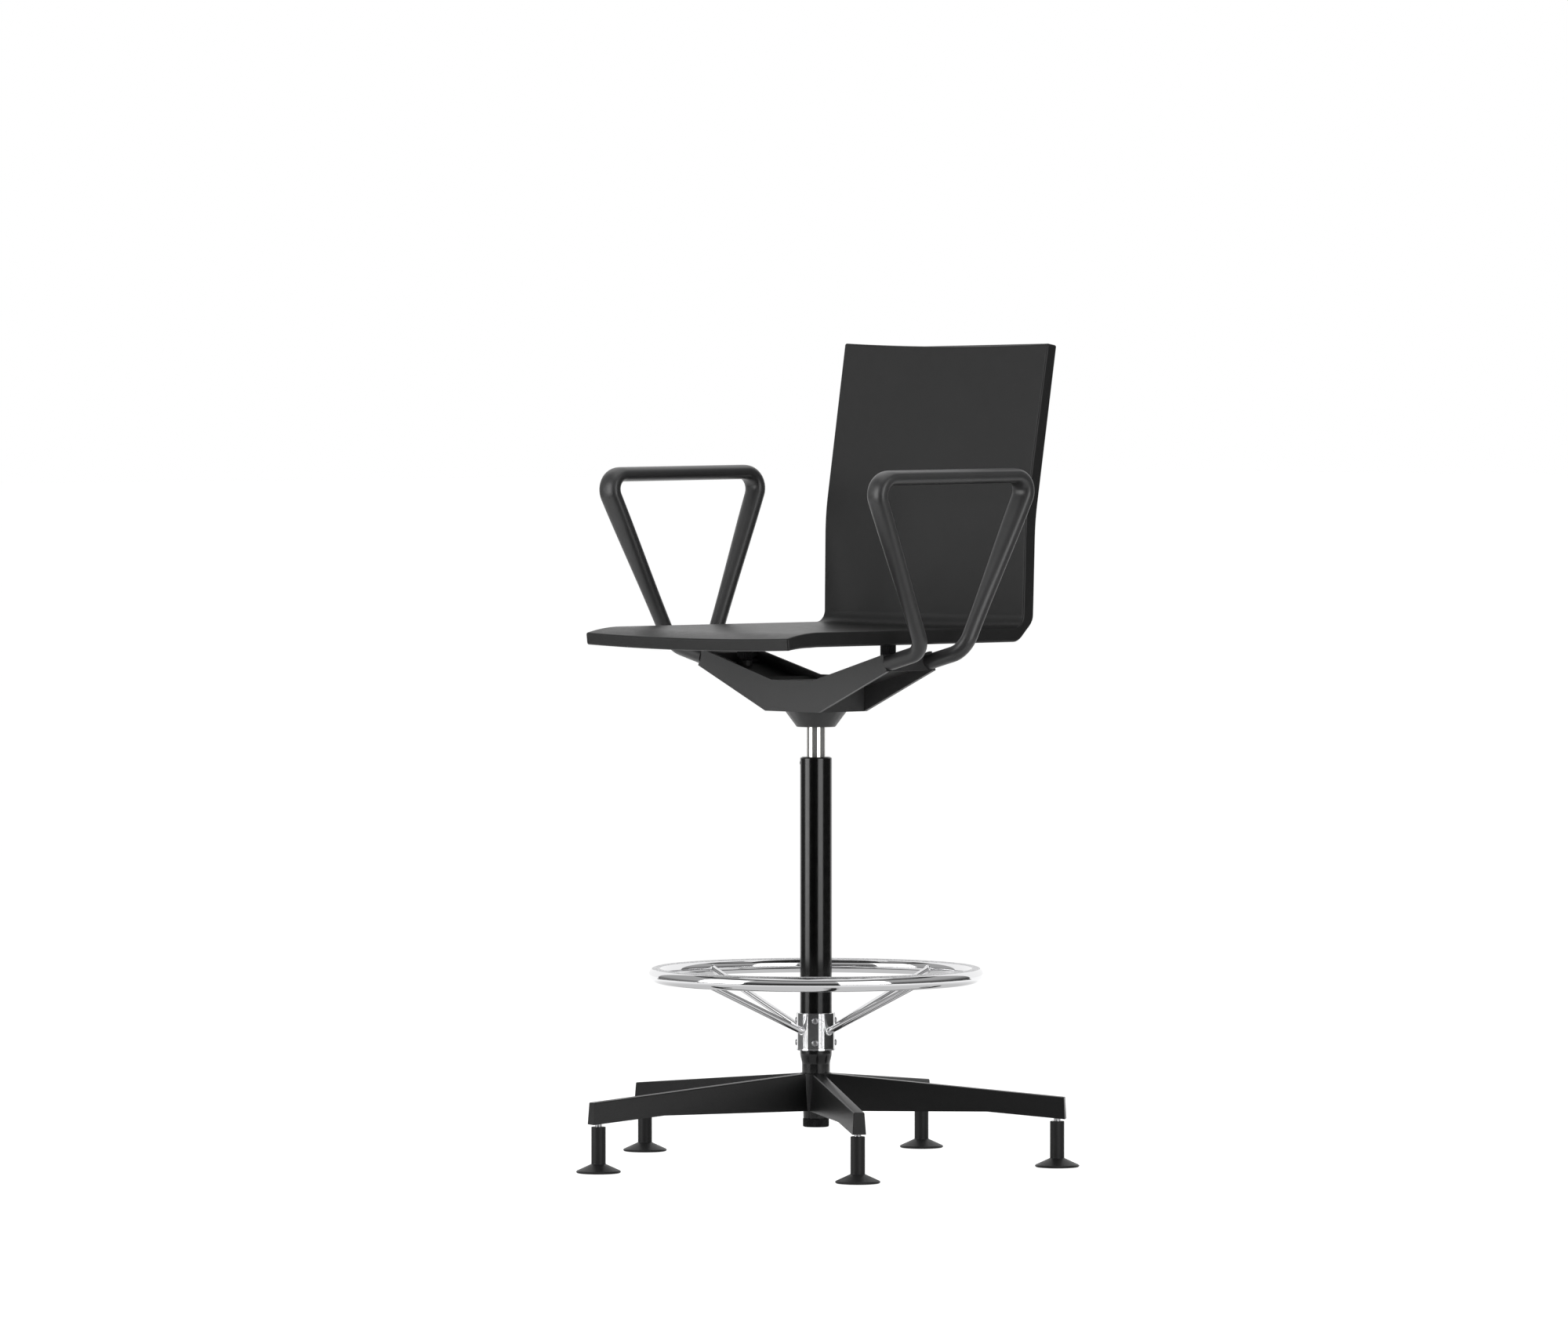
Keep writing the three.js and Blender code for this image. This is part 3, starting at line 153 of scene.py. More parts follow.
COLOUR_A, COLOUR_B, COLOUR_OUT = 6, 7, 2    # a Mix node's sockets for colours
RANGE_SOCKETS = ("From Min", "From Max", "To Min", "To Max")
NOISE_SPAN = (0.3, 0.7)                     # where most of a noise's values lie


class Nodes:
    """A short way to write a material's node tree."""

    def __init__(self, name, metallic=0.0, roughness=0.5, gloss=0.5):
        self.material = bpy.data.materials.new(name)
        self.material.use_nodes = True
        self.tree = self.material.node_tree
        self.shader = self.tree.nodes["Principled BSDF"]
        self.shader.inputs["Metallic"].default_value = metallic
        self.shader.inputs["Roughness"].default_value = roughness
        self.shader.inputs["Specular IOR Level"].default_value = gloss
        self.place = self.add("ShaderNodeTexCoord").outputs["Object"]

    def add(self, kind, **values):
        node = self.tree.nodes.new(kind)
        for key, value in values.items():
            setattr(node, key, value)
        return node

    def feed(self, socket, value):
        """Sets a socket to a number or a colour, or links it to another node's output."""
        if isinstance(value, bpy.types.NodeSocket):
            self.tree.links.new(value, socket)
        elif isinstance(value, (tuple, list)):
            socket.default_value = (*value, 1)
        else:
            socket.default_value = value

    def spread(self, stretch):
        """Object space with its axes stretched."""
        node = self.add("ShaderNodeMapping")
        node.inputs["Scale"].default_value = stretch
        self.feed(node.inputs["Vector"], self.place)
        return node.outputs["Vector"]

    def noise(self, scale, detail, roughness=0.55, stretch=None):
        """Noise in object space, with scale in cells per metre."""
        node = self.add("ShaderNodeTexNoise")
        node.inputs["Scale"].default_value = scale
        node.inputs["Detail"].default_value = detail
        node.inputs["Roughness"].default_value = roughness
        self.feed(node.inputs["Vector"], self.spread(stretch) if stretch else self.place)
        return node.outputs["Fac"]

    def cells(self, scale):
        """Distance to the middle of Voronoi cells, with scale in cells per metre."""
        node = self.add("ShaderNodeTexVoronoi")
        node.inputs["Scale"].default_value = scale
        self.feed(node.inputs["Vector"], self.place)
        return node.outputs["Distance"]

    def ranged(self, value, span, ends=(0, 1), smooth=False):
        """A value's span mapped to two ends."""
        kind = "SMOOTHSTEP" if smooth else "LINEAR"
        node = self.add("ShaderNodeMapRange", interpolation_type=kind)
        for socket, number in zip(RANGE_SOCKETS, (*span, *ends)):
            node.inputs[socket].default_value = number
        self.feed(node.inputs["Value"], value)
        return node.outputs["Result"]

    def math(self, operation, first, second):
        node = self.add("ShaderNodeMath", operation=operation)
        self.feed(node.inputs[0], first)
        self.feed(node.inputs[1], second)
        return node.outputs["Value"]

    def between(self, value, dark, light):
        """A colour that goes from dark to light as the value goes from 0 to 1."""
        node = self.add("ShaderNodeMix", data_type="RGBA")
        self.feed(node.inputs["Factor"], value)
        self.feed(node.inputs[COLOUR_A], dark)
        self.feed(node.inputs[COLOUR_B], light)
        return node.outputs[COLOUR_OUT]

    def bump(self, height, depth, strength, below=None):
        """Bump of a depth in metres, stacked on an earlier one."""
        node = self.add("ShaderNodeBump")
        node.inputs["Distance"].default_value = depth
        node.inputs["Strength"].default_value = strength
        self.feed(node.inputs["Height"], height)
        if below:
            self.feed(node.inputs["Normal"], below)
        return node.outputs["Normal"]

    def color(self, value):
        self.feed(self.shader.inputs["Base Color"], value)

    def rough(self, value):
        self.feed(self.shader.inputs["Roughness"], value)

    def normal(self, value):
        self.feed(self.shader.inputs["Normal"], value)


def shaded(light, share):
    return [share * c for c in light]


def moulded_skin(name, light, roughness, gloss, grain, relief=1.0):
    """A moulded part's own skin: matt, with a fine leathery grain and faint mould haze."""
    m = Nodes(name, roughness=roughness, gloss=gloss)
    haze = m.noise(14, detail=3)
    m.color(m.between(m.ranged(haze, (0.35, 0.65)), shaded(light, 0.84), light))
    wear = m.noise(60, detail=5)
    m.rough(m.ranged(wear, NOISE_SPAN, (roughness - 0.02, roughness + 0.03)))
    pores = m.bump(m.cells(grain), 0.00012, 0.5 * relief)
    m.normal(m.bump(m.noise(grain * 2.2, detail=2), 0.00006, 0.5 * relief, pores))
    return m.material


def powder_coat(name, light, roughness, gloss, grain, depth):
    """Fine structured powder coat on cast metal."""
    m = Nodes(name, roughness=roughness, gloss=gloss)
    fleck = m.noise(grain, detail=3, roughness=0.6)
    m.color(m.between(m.ranged(fleck, (0.35, 0.7)), shaded(light, 0.72), light))
    m.rough(m.ranged(fleck, NOISE_SPAN, (roughness + 0.07, roughness - 0.07)))
    broad = m.bump(m.noise(grain * 0.3, detail=2), depth * 2, 0.35)
    m.normal(m.bump(fleck, depth, 0.7, broad))
    return m.material


def gloss_paint(name, light, roughness):
    """Smooth black paint with a trace of orange peel."""
    m = Nodes(name, roughness=roughness)
    m.color(m.between(m.noise(30, detail=2), shaded(light, 0.8), light))
    wear = m.noise(90, detail=4)
    m.rough(m.ranged(wear, NOISE_SPAN, (roughness - 0.02, roughness + 0.03)))
    m.normal(m.bump(m.noise(420, detail=1), 0.00002, 0.2))
    return m.material


def polished(name, light, roughness, metallic=1.0):
    """Chrome plate: hazed a little, with hair-thin wipe marks."""
    m = Nodes(name, metallic=metallic, roughness=roughness)
    m.color(m.between(m.noise(20, detail=2), shaded(light, 0.95), light))
    wipes = m.noise(260, detail=3, roughness=0.6, stretch=(1, 1, 0.08))
    m.rough(m.ranged(wipes, (0.35, 0.75), (roughness, roughness + 0.02)))
    return m.material


def turned_steel(name, light, roughness):
    """Plain steel with fine turning marks round its axis."""
    m = Nodes(name, metallic=1, roughness=roughness)
    marks = m.noise(1500, detail=2, roughness=0.5, stretch=(0.02, 0.02, 1))
    m.color(m.between(marks, shaded(light, 0.8), light))
    wear = m.noise(200, detail=3)
    m.rough(m.ranged(wear, NOISE_SPAN, (roughness - 0.06, roughness + 0.08)))
    m.normal(m.bump(marks, 0.00003, 0.4))
    return m.material


def moulded_plastic(name, light, roughness, gloss):
    """Injection-moulded plastic with a spark-eroded texture."""
    m = Nodes(name, roughness=roughness, gloss=gloss)
    m.color(m.between(m.noise(40, detail=3), shaded(light, 0.8), light))
    wear = m.noise(300, detail=3)
    m.rough(m.ranged(wear, NOISE_SPAN, (roughness - 0.05, roughness + 0.05)))
    m.normal(m.bump(m.noise(1600, detail=2), 0.00004, 0.5))
    return m.material


def dull_rubber(name, light, roughness):
    """Black rubber with a dusty bloom."""
    m = Nodes(name, roughness=roughness, gloss=0.3)
    bloom = m.noise(120, detail=4)
    m.color(m.between(m.ranged(bloom, (0.4, 0.7)), light, shaded(light, 1.5)))
    m.normal(m.bump(m.noise(900, detail=2), 0.00005, 0.6))
    return m.material


BAND_EDGE, BAND_FULL = 0.84, 0.92       # where the blasted band starts, in the tube's radii
BAND_RAGGED = 0.0006


def ring_chrome(name, light):
    """Chrome for the foot ring, with a blasted anti-slip band along its top."""
    m = Nodes(name, metallic=1)
    place = m.add("ShaderNodeSeparateXYZ")
    m.feed(place.inputs[0], m.place)
    ragged = m.math("MULTIPLY", m.noise(900, detail=2), BAND_RAGGED)
    height = m.math("ADD", place.outputs["Z"], ragged)
    limits = [(RING_Z + share * RING_TUBE) * MM for share in (BAND_EDGE, BAND_FULL)]
    band = m.ranged(height, limits, smooth=True)
    grit = m.noise(760, detail=2, roughness=0.7)
    blasted = m.between(m.ranged(grit, (0.40, 0.62)), (0.42, 0.42, 0.43), (0.90, 0.90, 0.91))
    m.color(m.between(band, light, blasted))
    m.rough(m.ranged(band, (0, 1), (0.05, 0.42)))
    m.normal(m.bump(m.math("MULTIPLY", band, grit), 0.0006, 1.0))
    return m.material


MATERIALS = {
    "shell_skin": moulded_skin(
        "shell_skin", (0.0050, 0.0050, 0.0051), roughness=0.40, gloss=0.38, grain=1500),
    "armrest_skin": moulded_skin(
        "armrest_skin", (0.030, 0.030, 0.0305), roughness=0.36, gloss=0.5, grain=1500, relief=0.4),
    "cast_black": powder_coat(
        "cast_black", (0.036, 0.036, 0.0365), roughness=0.42, gloss=0.5, grain=900, depth=0.00012),
    "star_coat": powder_coat(
        "star_coat", (0.013, 0.013, 0.0132), roughness=0.33, gloss=0.23, grain=900, depth=0.00012),
    "glide_plastic": moulded_plastic(
        "glide_plastic", (0.015, 0.015, 0.0152), roughness=0.40, gloss=0.22),
    "trim_plastic": moulded_plastic(
        "trim_plastic", (0.0035, 0.0035, 0.0036), roughness=0.30, gloss=0.15),
    "column_black": gloss_paint("column_black", (0.0020, 0.0020, 0.0020), roughness=0.18),
    "chrome": polished("chrome", (0.80, 0.80, 0.81), roughness=0.05),
    "lift_chrome": polished("lift_chrome", (0.76, 0.75, 0.73), roughness=0.10, metallic=0.82),
    "collar_chrome": polished("collar_chrome", (0.78, 0.78, 0.79), roughness=0.08, metallic=0.97),
    "button_steel": turned_steel("button_steel", (0.42, 0.42, 0.43), roughness=0.30),
    "steel": turned_steel("steel", (0.55, 0.55, 0.56), roughness=0.28),
    "post_rubber": dull_rubber("post_rubber", (0.014, 0.014, 0.015), roughness=0.70),
    "foot_ring": ring_chrome("foot_ring_chrome", (0.83, 0.83, 0.84)),
}

NODE_SLOTS = {part["node"]: part["material_slot"] for part in frame["record"]["subparts"]}

for node_name, node_object in frame["nodes"].items():
    for material_slot in node_object.material_slots:
        material_slot.material = MATERIALS[NODE_SLOTS[node_name]]

# ------------------------------------------------------------------ mesh helpers

SAME_PLACE = 2e-6                       # metres within which two vertices are one
SAME_PLANE = math.radians(1)
BEVEL_SEGMENTS = 2
EASE_STEPS = 6
EASE_LIMIT = 0.48                       # share of a side that a rounded corner may use
RELIEF_STEPS = 8                        # segments to a knurl or a rib
WALL_DEPTH = 1                          # points this near a turned piece's outside are its wall


def finished(name, mesh, body, slot, replaces=(), sharp=35, look=None):
    """Closes a mesh outwards, shades it, and puts it on its body."""
    bm = bmesh.new()
    bm.from_mesh(mesh)
    bmesh.ops.remove_doubles(bm, verts=bm.verts, dist=SAME_PLACE)
    bmesh.ops.recalc_face_normals(bm, faces=bm.faces)
    bm.to_mesh(mesh)
    bm.free()
    mesh.validate()
    for polygon in mesh.polygons:
        polygon.use_smooth = True
    mesh.set_sharp_from_angle(angle=math.radians(sharp))
    piece = bpy.data.objects.new(name, mesh)
    bpy.context.scene.collection.objects.link(piece)
    mesh.materials.clear()
    mesh.materials.append(MATERIALS[look or slot])
    weighted = piece.modifiers.new("normals", "WEIGHTED_NORMAL")
    weighted.keep_sharp = True
    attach(piece, body)
    if replaces:
        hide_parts(*replaces)
    return piece


def mesh_piece(name, shape, body, slot, replaces=(), sharp=35, look=None):
    """A piece from (vertices, faces) in millimetres round the column's axis."""
    verts, faces = shape
    mesh = bpy.data.meshes.new(name)
    mesh.from_pydata([AXIS + Vector(v) * MM for v in verts], [], faces)
    finished(name, mesh, body, slot, replaces, sharp, look)


def softened(node, name, width, look=None, angle=25):
    """A copy of a CAD node with its edges rounded, standing for that node."""
    source = frame["nodes"][node]
    mesh = source.data.copy()
    bm = bmesh.new()
    bm.from_mesh(mesh)
    bmesh.ops.remove_doubles(bm, verts=bm.verts, dist=SAME_PLACE)
    bmesh.ops.dissolve_limit(bm, angle_limit=SAME_PLANE, verts=bm.verts, edges=bm.edges,
                             use_dissolve_boundaries=False)
    bm.to_mesh(mesh)
    bm.free()
    piece = finished(name, mesh, source["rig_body"], NODE_SLOTS[node], (node,), angle, look)
    bevel = piece.modifiers.new("edges", "BEVEL")
    bevel.width = width * MM
    bevel.segments = BEVEL_SEGMENTS
    bevel.limit_method = "ANGLE"
    bevel.angle_limit = math.radians(angle)
    bevel.use_clamp_overlap = True
    bevel.harden_normals = True


def blend(low, high, t):
    return low + (high - low) * t


def smooth_step(t):
    return t * t * (3 - 2 * t)


def fractions(count, skip_first=False):
    return [k / count for k in range(1 if skip_first else 0, count + 1)]


def arc(centre, radius, degrees):
    """Points of a circle round a centre, at some angles."""
    x, y = centre
    angles = [math.radians(d) for d in degrees]
    return [(x + radius * math.cos(a), y + radius * math.sin(a)) for a in angles]


def outwards(degrees):
    return Vector((*arc((0, 0), 1, [degrees])[0], 0))


def eased(profile, rounds):
    """A profile with some corners rounded: rounds maps a corner's index to its radius."""
    last = len(profile) - 1
    points = []
    for i, corner in enumerate(profile):
        radius = rounds.get(i, 0)
        if not radius or i in (0, last):
            points.append(corner)
            continue
        here = Vector(corner)
        back = Vector(profile[i - 1]) - here
        ahead = Vector(profile[i + 1]) - here
        cut = min(radius / math.tan(back.angle(ahead) / 2),
                  back.length * EASE_LIMIT, ahead.length * EASE_LIMIT)
        start = here + back.normalized() * cut
        end = here + ahead.normalized() * cut
        for t in fractions(EASE_STEPS):
            bend = start * (1 - t) ** 2 + here * 2 * t * (1 - t) + end * t ** 2
            points.append((bend.x, bend.y))
    return points


def turned(profile, segments=96, relief=None):
    """A profile of (radius, height) turned round Z. It ends on the axis, or closes on itself.

    Relief gives the true radius from (radius, height, angle).
    """
    on_axis = profile[0][0] == 0
    verts, rings = [], []
    for radius, height in profile:
        count = segments if radius else 1
        rings.append(range(len(verts), len(verts) + count))
        for i in range(count):
            angle = 2 * math.pi * i / segments
            reach = relief(radius, height, angle) if relief else radius
            verts.append((reach * math.cos(angle), reach * math.sin(angle), height))
    pairs = list(zip(rings, rings[1:]))
    if not on_axis:
        pairs.append((rings[-1], rings[0]))
    faces = []
    for low, high in pairs:
        for i in range(segments):
            j = (i + 1) % segments
            corners = (low[i % len(low)], low[j % len(low)],
                       high[j % len(high)], high[i % len(high)])
            face = list(dict.fromkeys(corners))
            if len(face) > 2:
                faces.append(face)
    return verts, faces


def lofted(rings, closed=False):
    """Rings of equal count joined in order, with flat ends unless the last joins the first."""
    count = len(rings[0])
    verts = [tuple(p) for ring in rings for p in ring]
    starts = [k * count for k in range(len(rings))]
    pairs = list(zip(starts, starts[1:]))
    if closed:
        pairs.append((starts[-1], 0))
    faces = []
    for a, b in pairs:
        for i in range(count):
            j = (i + 1) % count
            faces.append([a + i, a + j, b + j, b + i])
    if not closed:
        faces.append(list(range(count)))
        faces.append([starts[-1] + i for i in reversed(range(count))])
    return verts, faces


def tube(points, radius, sides, closed=False):
    """A round tube along points; the radius may be a function of the point's index."""
    reach = radius if callable(radius) else (lambda _: radius)
    points = [Vector(p) for p in points]
    count = len(points)
    tangents = []
    for i in range(count):
        after = points[(i + 1) % count] if closed else points[min(i + 1, count - 1)]
        before = points[i - 1] if closed or i else points[0]
        tangents.append((after - before).normalized())
    angles = [2 * math.pi * k / sides for k in range(sides)]
    side = tangents[0].orthogonal().normalized()
    rings = []
    for i, (point, tangent) in enumerate(zip(points, tangents)):
        side = (side - tangent * side.dot(tangent)).normalized()
        other = tangent.cross(side)
        rings.append([point + (side * math.cos(a) + other * math.sin(a)) * reach(i)
                      for a in angles])
    return lofted(rings, closed)


def placed(shape, matrix):
    verts, faces = shape
    return [tuple(matrix @ Vector(v)) for v in verts], faces


def beside(shape, node):
    """A shape turned round Z, moved to stand on a node's own axis."""
    centre = middle(node)
    return placed(shape, Matrix.Translation((centre.x, centre.y, 0)))


def set_along(shape, line, seat):
    """A shape modelled up Z from the origin, turned to a line and moved to a seat."""
    turn = line.to_track_quat("Z", "Y").to_matrix().to_4x4()
    return placed(shape, Matrix.Translation(seat) @ turn)


# ------------------------------------------------------------------ star base and glides

GLIDE_COUNT = 5
GLIDE_FOOT_RADIUS = 33
GLIDE_FOOT_EASE = 1.9
GLIDE_RIM_INSET = 1.5
GLIDE_RIM_RISE = 1.6
GLIDE_CONE_HEIGHT = 13.2
GLIDE_STEM_RADIUS = 10.5
GLIDE_HEIGHT = 67.3
GLIDE_BORE_RADIUS = 5.3
GLIDE_BORE_FOOT = 45
GLIDE_RIM_ROUND = 1.2
GLIDE_CONE_ROUND = 1.6
GLIDE_TOP_ROUND = 0.8
PIN_ROUND = 0.6

softened("star_base", "star_casting", width=0.6, look="star_coat")

glide = turned(eased(
    [
        (0, 0), (GLIDE_FOOT_RADIUS - GLIDE_FOOT_EASE, 0), (GLIDE_FOOT_RADIUS, GLIDE_FOOT_EASE),
        (GLIDE_FOOT_RADIUS - GLIDE_RIM_INSET, GLIDE_FOOT_EASE + GLIDE_RIM_RISE),
        (GLIDE_STEM_RADIUS, GLIDE_CONE_HEIGHT), (GLIDE_STEM_RADIUS, GLIDE_HEIGHT),
        (GLIDE_BORE_RADIUS, GLIDE_HEIGHT), (GLIDE_BORE_RADIUS, GLIDE_BORE_FOOT),
        (0, GLIDE_BORE_FOOT),
    ],
    {1: GLIDE_RIM_ROUND, 2: GLIDE_RIM_ROUND, 3: GLIDE_RIM_ROUND, 4: GLIDE_CONE_ROUND,
     5: GLIDE_TOP_ROUND},
), segments=72)
for number in range(1, GLIDE_COUNT + 1):
    node = f"glide_pin_{number}"
    mesh_piece(f"glide_{number}_moulding", beside(glide, node), "base", "glide_plastic",
               (f"glide_{number}",))
    low, high = local_box(node)
    radius = half_width(node)
    pin = eased([(0, low.z), (radius, low.z), (radius, high.z), (0, high.z)],
                {1: PIN_ROUND, 2: PIN_ROUND})
    mesh_piece(f"glide_{number}_pin", beside(turned(pin, segments=48), node), "base", "steel",
               (node,))

# ------------------------------------------------------------------ column

HUB_TOP = local_box("star_base")[1].z
HUB_SEAM = 0.3
NECK_RADIUS = 20.6
NECK_HEIGHT = 13
SHOULDER_HEIGHT = 16
SHOULDER_STEPS = 12
COLUMN_RADIUS = 23.35
COLUMN_BORE = 21.15
COLUMN_TOP_ROUND = 1.8
COLUMN_FLOOR = 5
TAIL_RADIUS = 18.6
TAIL_BORE = 16.4
ROD_HOLE = 4.5

low, high = local_box("column_tube")
neck_top = HUB_TOP + NECK_HEIGHT
shoulder = [(blend(NECK_RADIUS, COLUMN_RADIUS, smooth_step(t)), neck_top + SHOULDER_HEIGHT * t)
            for t in fractions(SHOULDER_STEPS)]
column_profile = [
    (ROD_HOLE, low.z), (TAIL_RADIUS, low.z), (NECK_RADIUS, HUB_TOP + HUB_SEAM), *shoulder,
    *arc((COLUMN_RADIUS - COLUMN_TOP_ROUND, high.z - COLUMN_TOP_ROUND), COLUMN_TOP_ROUND,
         range(0, 91, 15)),
    (COLUMN_BORE, high.z), (COLUMN_BORE, neck_top + SHOULDER_HEIGHT), (TAIL_BORE, neck_top),
    (TAIL_BORE, low.z + COLUMN_FLOOR), (ROD_HOLE, low.z + COLUMN_FLOOR),
]
mesh_piece("column", turned(column_profile, segments=128), "base", "column_black",
           ("column_tube",))

CYLINDER_RADIUS = 14
CYLINDER_BORE = 12
CYLINDER_WALL = 2                       # at the foot
CYLINDER_CONE_HEIGHT = 36
CYLINDER_CONE_TOP = 13.1
CYLINDER_CONE_BORE = 11
CYLINDER_CAP = 6
VALVE_HOLE = 2.5

low, high = local_box("gas_cylinder")
cone_foot = high.z - CYLINDER_CONE_HEIGHT
cap_foot = high.z - CYLINDER_CAP
cylinder_profile = [
    (CYLINDER_BORE - CYLINDER_WALL, low.z), (CYLINDER_RADIUS, low.z),
    (CYLINDER_RADIUS, cone_foot), (CYLINDER_CONE_TOP, high.z),
    (VALVE_HOLE, high.z), (VALVE_HOLE, cap_foot), (CYLINDER_CONE_BORE, cap_foot),
    (CYLINDER_CONE_BORE, cone_foot),
    (CYLINDER_BORE, cone_foot - (CYLINDER_BORE - CYLINDER_CONE_BORE)),
    (CYLINDER_BORE, low.z + CYLINDER_WALL), (CYLINDER_BORE - CYLINDER_WALL, low.z + CYLINDER_WALL),
]

BUSH_GAP = 0.3                          # to the cylinder and to the column
BUSH_RIM = 0.4
BUSH_LEAD_IN = 1
BUSH_LEAD_DEPTH = 0.8

low, high = local_box("guide_bush")
bore, outer = CYLINDER_RADIUS + BUSH_GAP, COLUMN_BORE - BUSH_GAP
bush_profile = [
    (bore, low.z), (outer, low.z), (outer, high.z - BUSH_RIM), (outer - BUSH_RIM, high.z),
    (bore + BUSH_LEAD_IN, high.z), (bore, high.z - BUSH_LEAD_DEPTH),
]
mesh_piece("column_bush", turned(bush_profile), "base", "trim_plastic", ("guide_bush",))

CAP_WALL = 3
CAP_FOOT_EDGE = ((-1.2, 0), (-0.4, 0.5), (-0.1, 1.4), (0, 2))   # from the wall and the foot
CAP_TOP_EDGE = ((0, -1.4), (0, -0.8), (-0.4, 0))                # from the wall and the top
CAP_KNURLS = 48
CAP_KNURL_DEPTH = 0.5
CAP_KNURL_ENDS = (1.5, 1)               # plain wall at the foot and at the top

cap_low, cap_high = local_box("base_cap")
cap_radius = half_width("base_cap")


def knurled(radius, height, angle):
    """Vertical knurls round the cap's wall, fading out at its ends."""
    foot, top = CAP_KNURL_ENDS
    on_wall = radius >= cap_radius - WALL_DEPTH
    if not on_wall or not cap_low.z + foot < height < cap_high.z - top:
        return radius
    return radius - CAP_KNURL_DEPTH * (0.5 - 0.5 * math.cos(CAP_KNURLS * angle))


cap_bore = cap_radius - CAP_WALL
cap_profile = [
    (0, cap_low.z),
    *[(cap_radius + x, cap_low.z + z) for x, z in CAP_FOOT_EDGE],
    *[(cap_radius + x, cap_high.z + z) for x, z in CAP_TOP_EDGE],
    (cap_bore, cap_high.z), (cap_bore, cap_low.z + CAP_WALL), (0, cap_low.z + CAP_WALL),
]
mesh_piece("column_cap", turned(cap_profile, CAP_KNURLS * RELIEF_STEPS, knurled), "base",
           "trim_plastic", ("base_cap",))
mesh_piece("lift_tube", turned(cylinder_profile), "seat", "chrome", ("gas_cylinder",),
           look="lift_chrome")

# ------------------------------------------------------------------ screws

SOCKET_WIDTH = 0.42                     # in the head's radii
SOCKET_DEPTH = 0.6                      # in the head's heights
HEAD_RIM = 0.15
HEAD_DOME = (90, 78, 64, 50, 38)        # degrees from the head's top
COLLAR_SCREW = {"shank": 2, "head_radius": 4.6, "head_height": 2.6}
SEAT_BOLT = {"shank": 4, "head_radius": 6.5, "head_height": 5}
ARMREST_SCREW = {"shank": 2.5, "head_radius": 4.2, "head_height": 3}
COLLAR_SCREW_COUNT = 8
COLLAR_SCREW_BEARING = 45               # degrees, of the first screw
COLLAR_SCREW_TURN = 90                  # degrees from one screw to the next
SAME_RADIUS = 1e-6
CORNER_NUDGE = 1e-9                     # keeps rounding from moving a corner to the next face


def button_screw(name, node, line, slot, look, shank, head_radius, head_height):
    """A button-head screw with a hexagon socket, its head and foot where the CAD screw's are."""
    low, high = reach_along(node, line)
    under_head = high - head_height
    centre = middle(node)
    hexagon = head_radius * SOCKET_WIDTH

    def socket(radius, height, angle):
        if abs(radius - hexagon) > SAME_RADIUS:
            return radius
        return radius / math.cos((angle + CORNER_NUDGE) % (math.pi / 3) - math.pi / 6)

    dome = [(head_radius * x, head_height * blend(HEAD_RIM, 1, z))
            for z, x in arc((0, 0), 1, HEAD_DOME)]
    rim = dome[-1][1]
    floor = rim - head_height * SOCKET_DEPTH
    foot = low - under_head
    profile = [
        (0, foot), (shank, foot), (shank, 0), (head_radius, 0), *dome,
        (hexagon, rim), (hexagon, floor), (0, floor),
    ]
    seat = centre + line * (under_head - centre.dot(line))
    mesh_piece(name, set_along(turned(profile, 48, socket), line, seat),
               frame["nodes"][node]["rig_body"], slot, (node,), sharp=30, look=look)


def collar_side(number):
    """The way a collar screw faces."""
    return outwards(COLLAR_SCREW_BEARING + COLLAR_SCREW_TURN * (number - 1))


for number in range(1, COLLAR_SCREW_COUNT + 1):
    button_screw(f"collar_button_{number}", f"collar_screw_{number}", collar_side(number),
                 "chrome", "button_steel", **COLLAR_SCREW)
for side in ("left", "right"):
    button_screw(f"seat_screw_{side}", f"seat_bolt_{side}", Vector((0, 0, -1)),
                 "steel", "steel", **SEAT_BOLT)
    for end in ("front", "rear"):
        button_screw(f"armrest_button_{side}_{end}", f"armrest_screw_{side}_{end}",
                     Vector((0, 0, 1)), "steel", "steel", **ARMREST_SCREW)

# ------------------------------------------------------------------ foot ring, spokes and collar

RING_STEPS = 288
COLLAR_RADIUS = 28.45
COLLAR_BORE = 23.65
COLLAR_LIP = 0.6
COLLAR_LIP_HEIGHT = 2
COLLAR_LIP_EDGE = 0.3
COLLAR_TOP_EDGE = 0.6
SPOT_FACE_RADIUS = 5.1
SPOT_FACE_SINK = 1.4                    # into the collar's wall
SPOT_FACE_GAP = 0.05                    # under the screw's head
SPOT_FACE_EDGE = 0.3
SPOKE_COUNT = 4
SPOKE_RADIUS = 5
SPOKE_RISE = 3                          # of its end above the ring's middle
SPOKE_INSET = 2                         # of its foot outside the column
SPOKE_STEPS = 12
WELD_RADIUS = 1.3
WELD_STEPS = 48
WELD_DROP = 4                           # steps to a drop
WELD_RIPPLE = 0.16
HALVINGS = 30

ring_path = [(x, y, RING_Z) for x, y in
             arc((0, 0), RING_RADIUS, [360 * k / RING_STEPS for k in range(RING_STEPS)])]
mesh_piece("foot_ring_tube", tube(ring_path, RING_TUBE, sides=48, closed=True), "base",
           "chrome", ("foot_ring",), look="foot_ring")

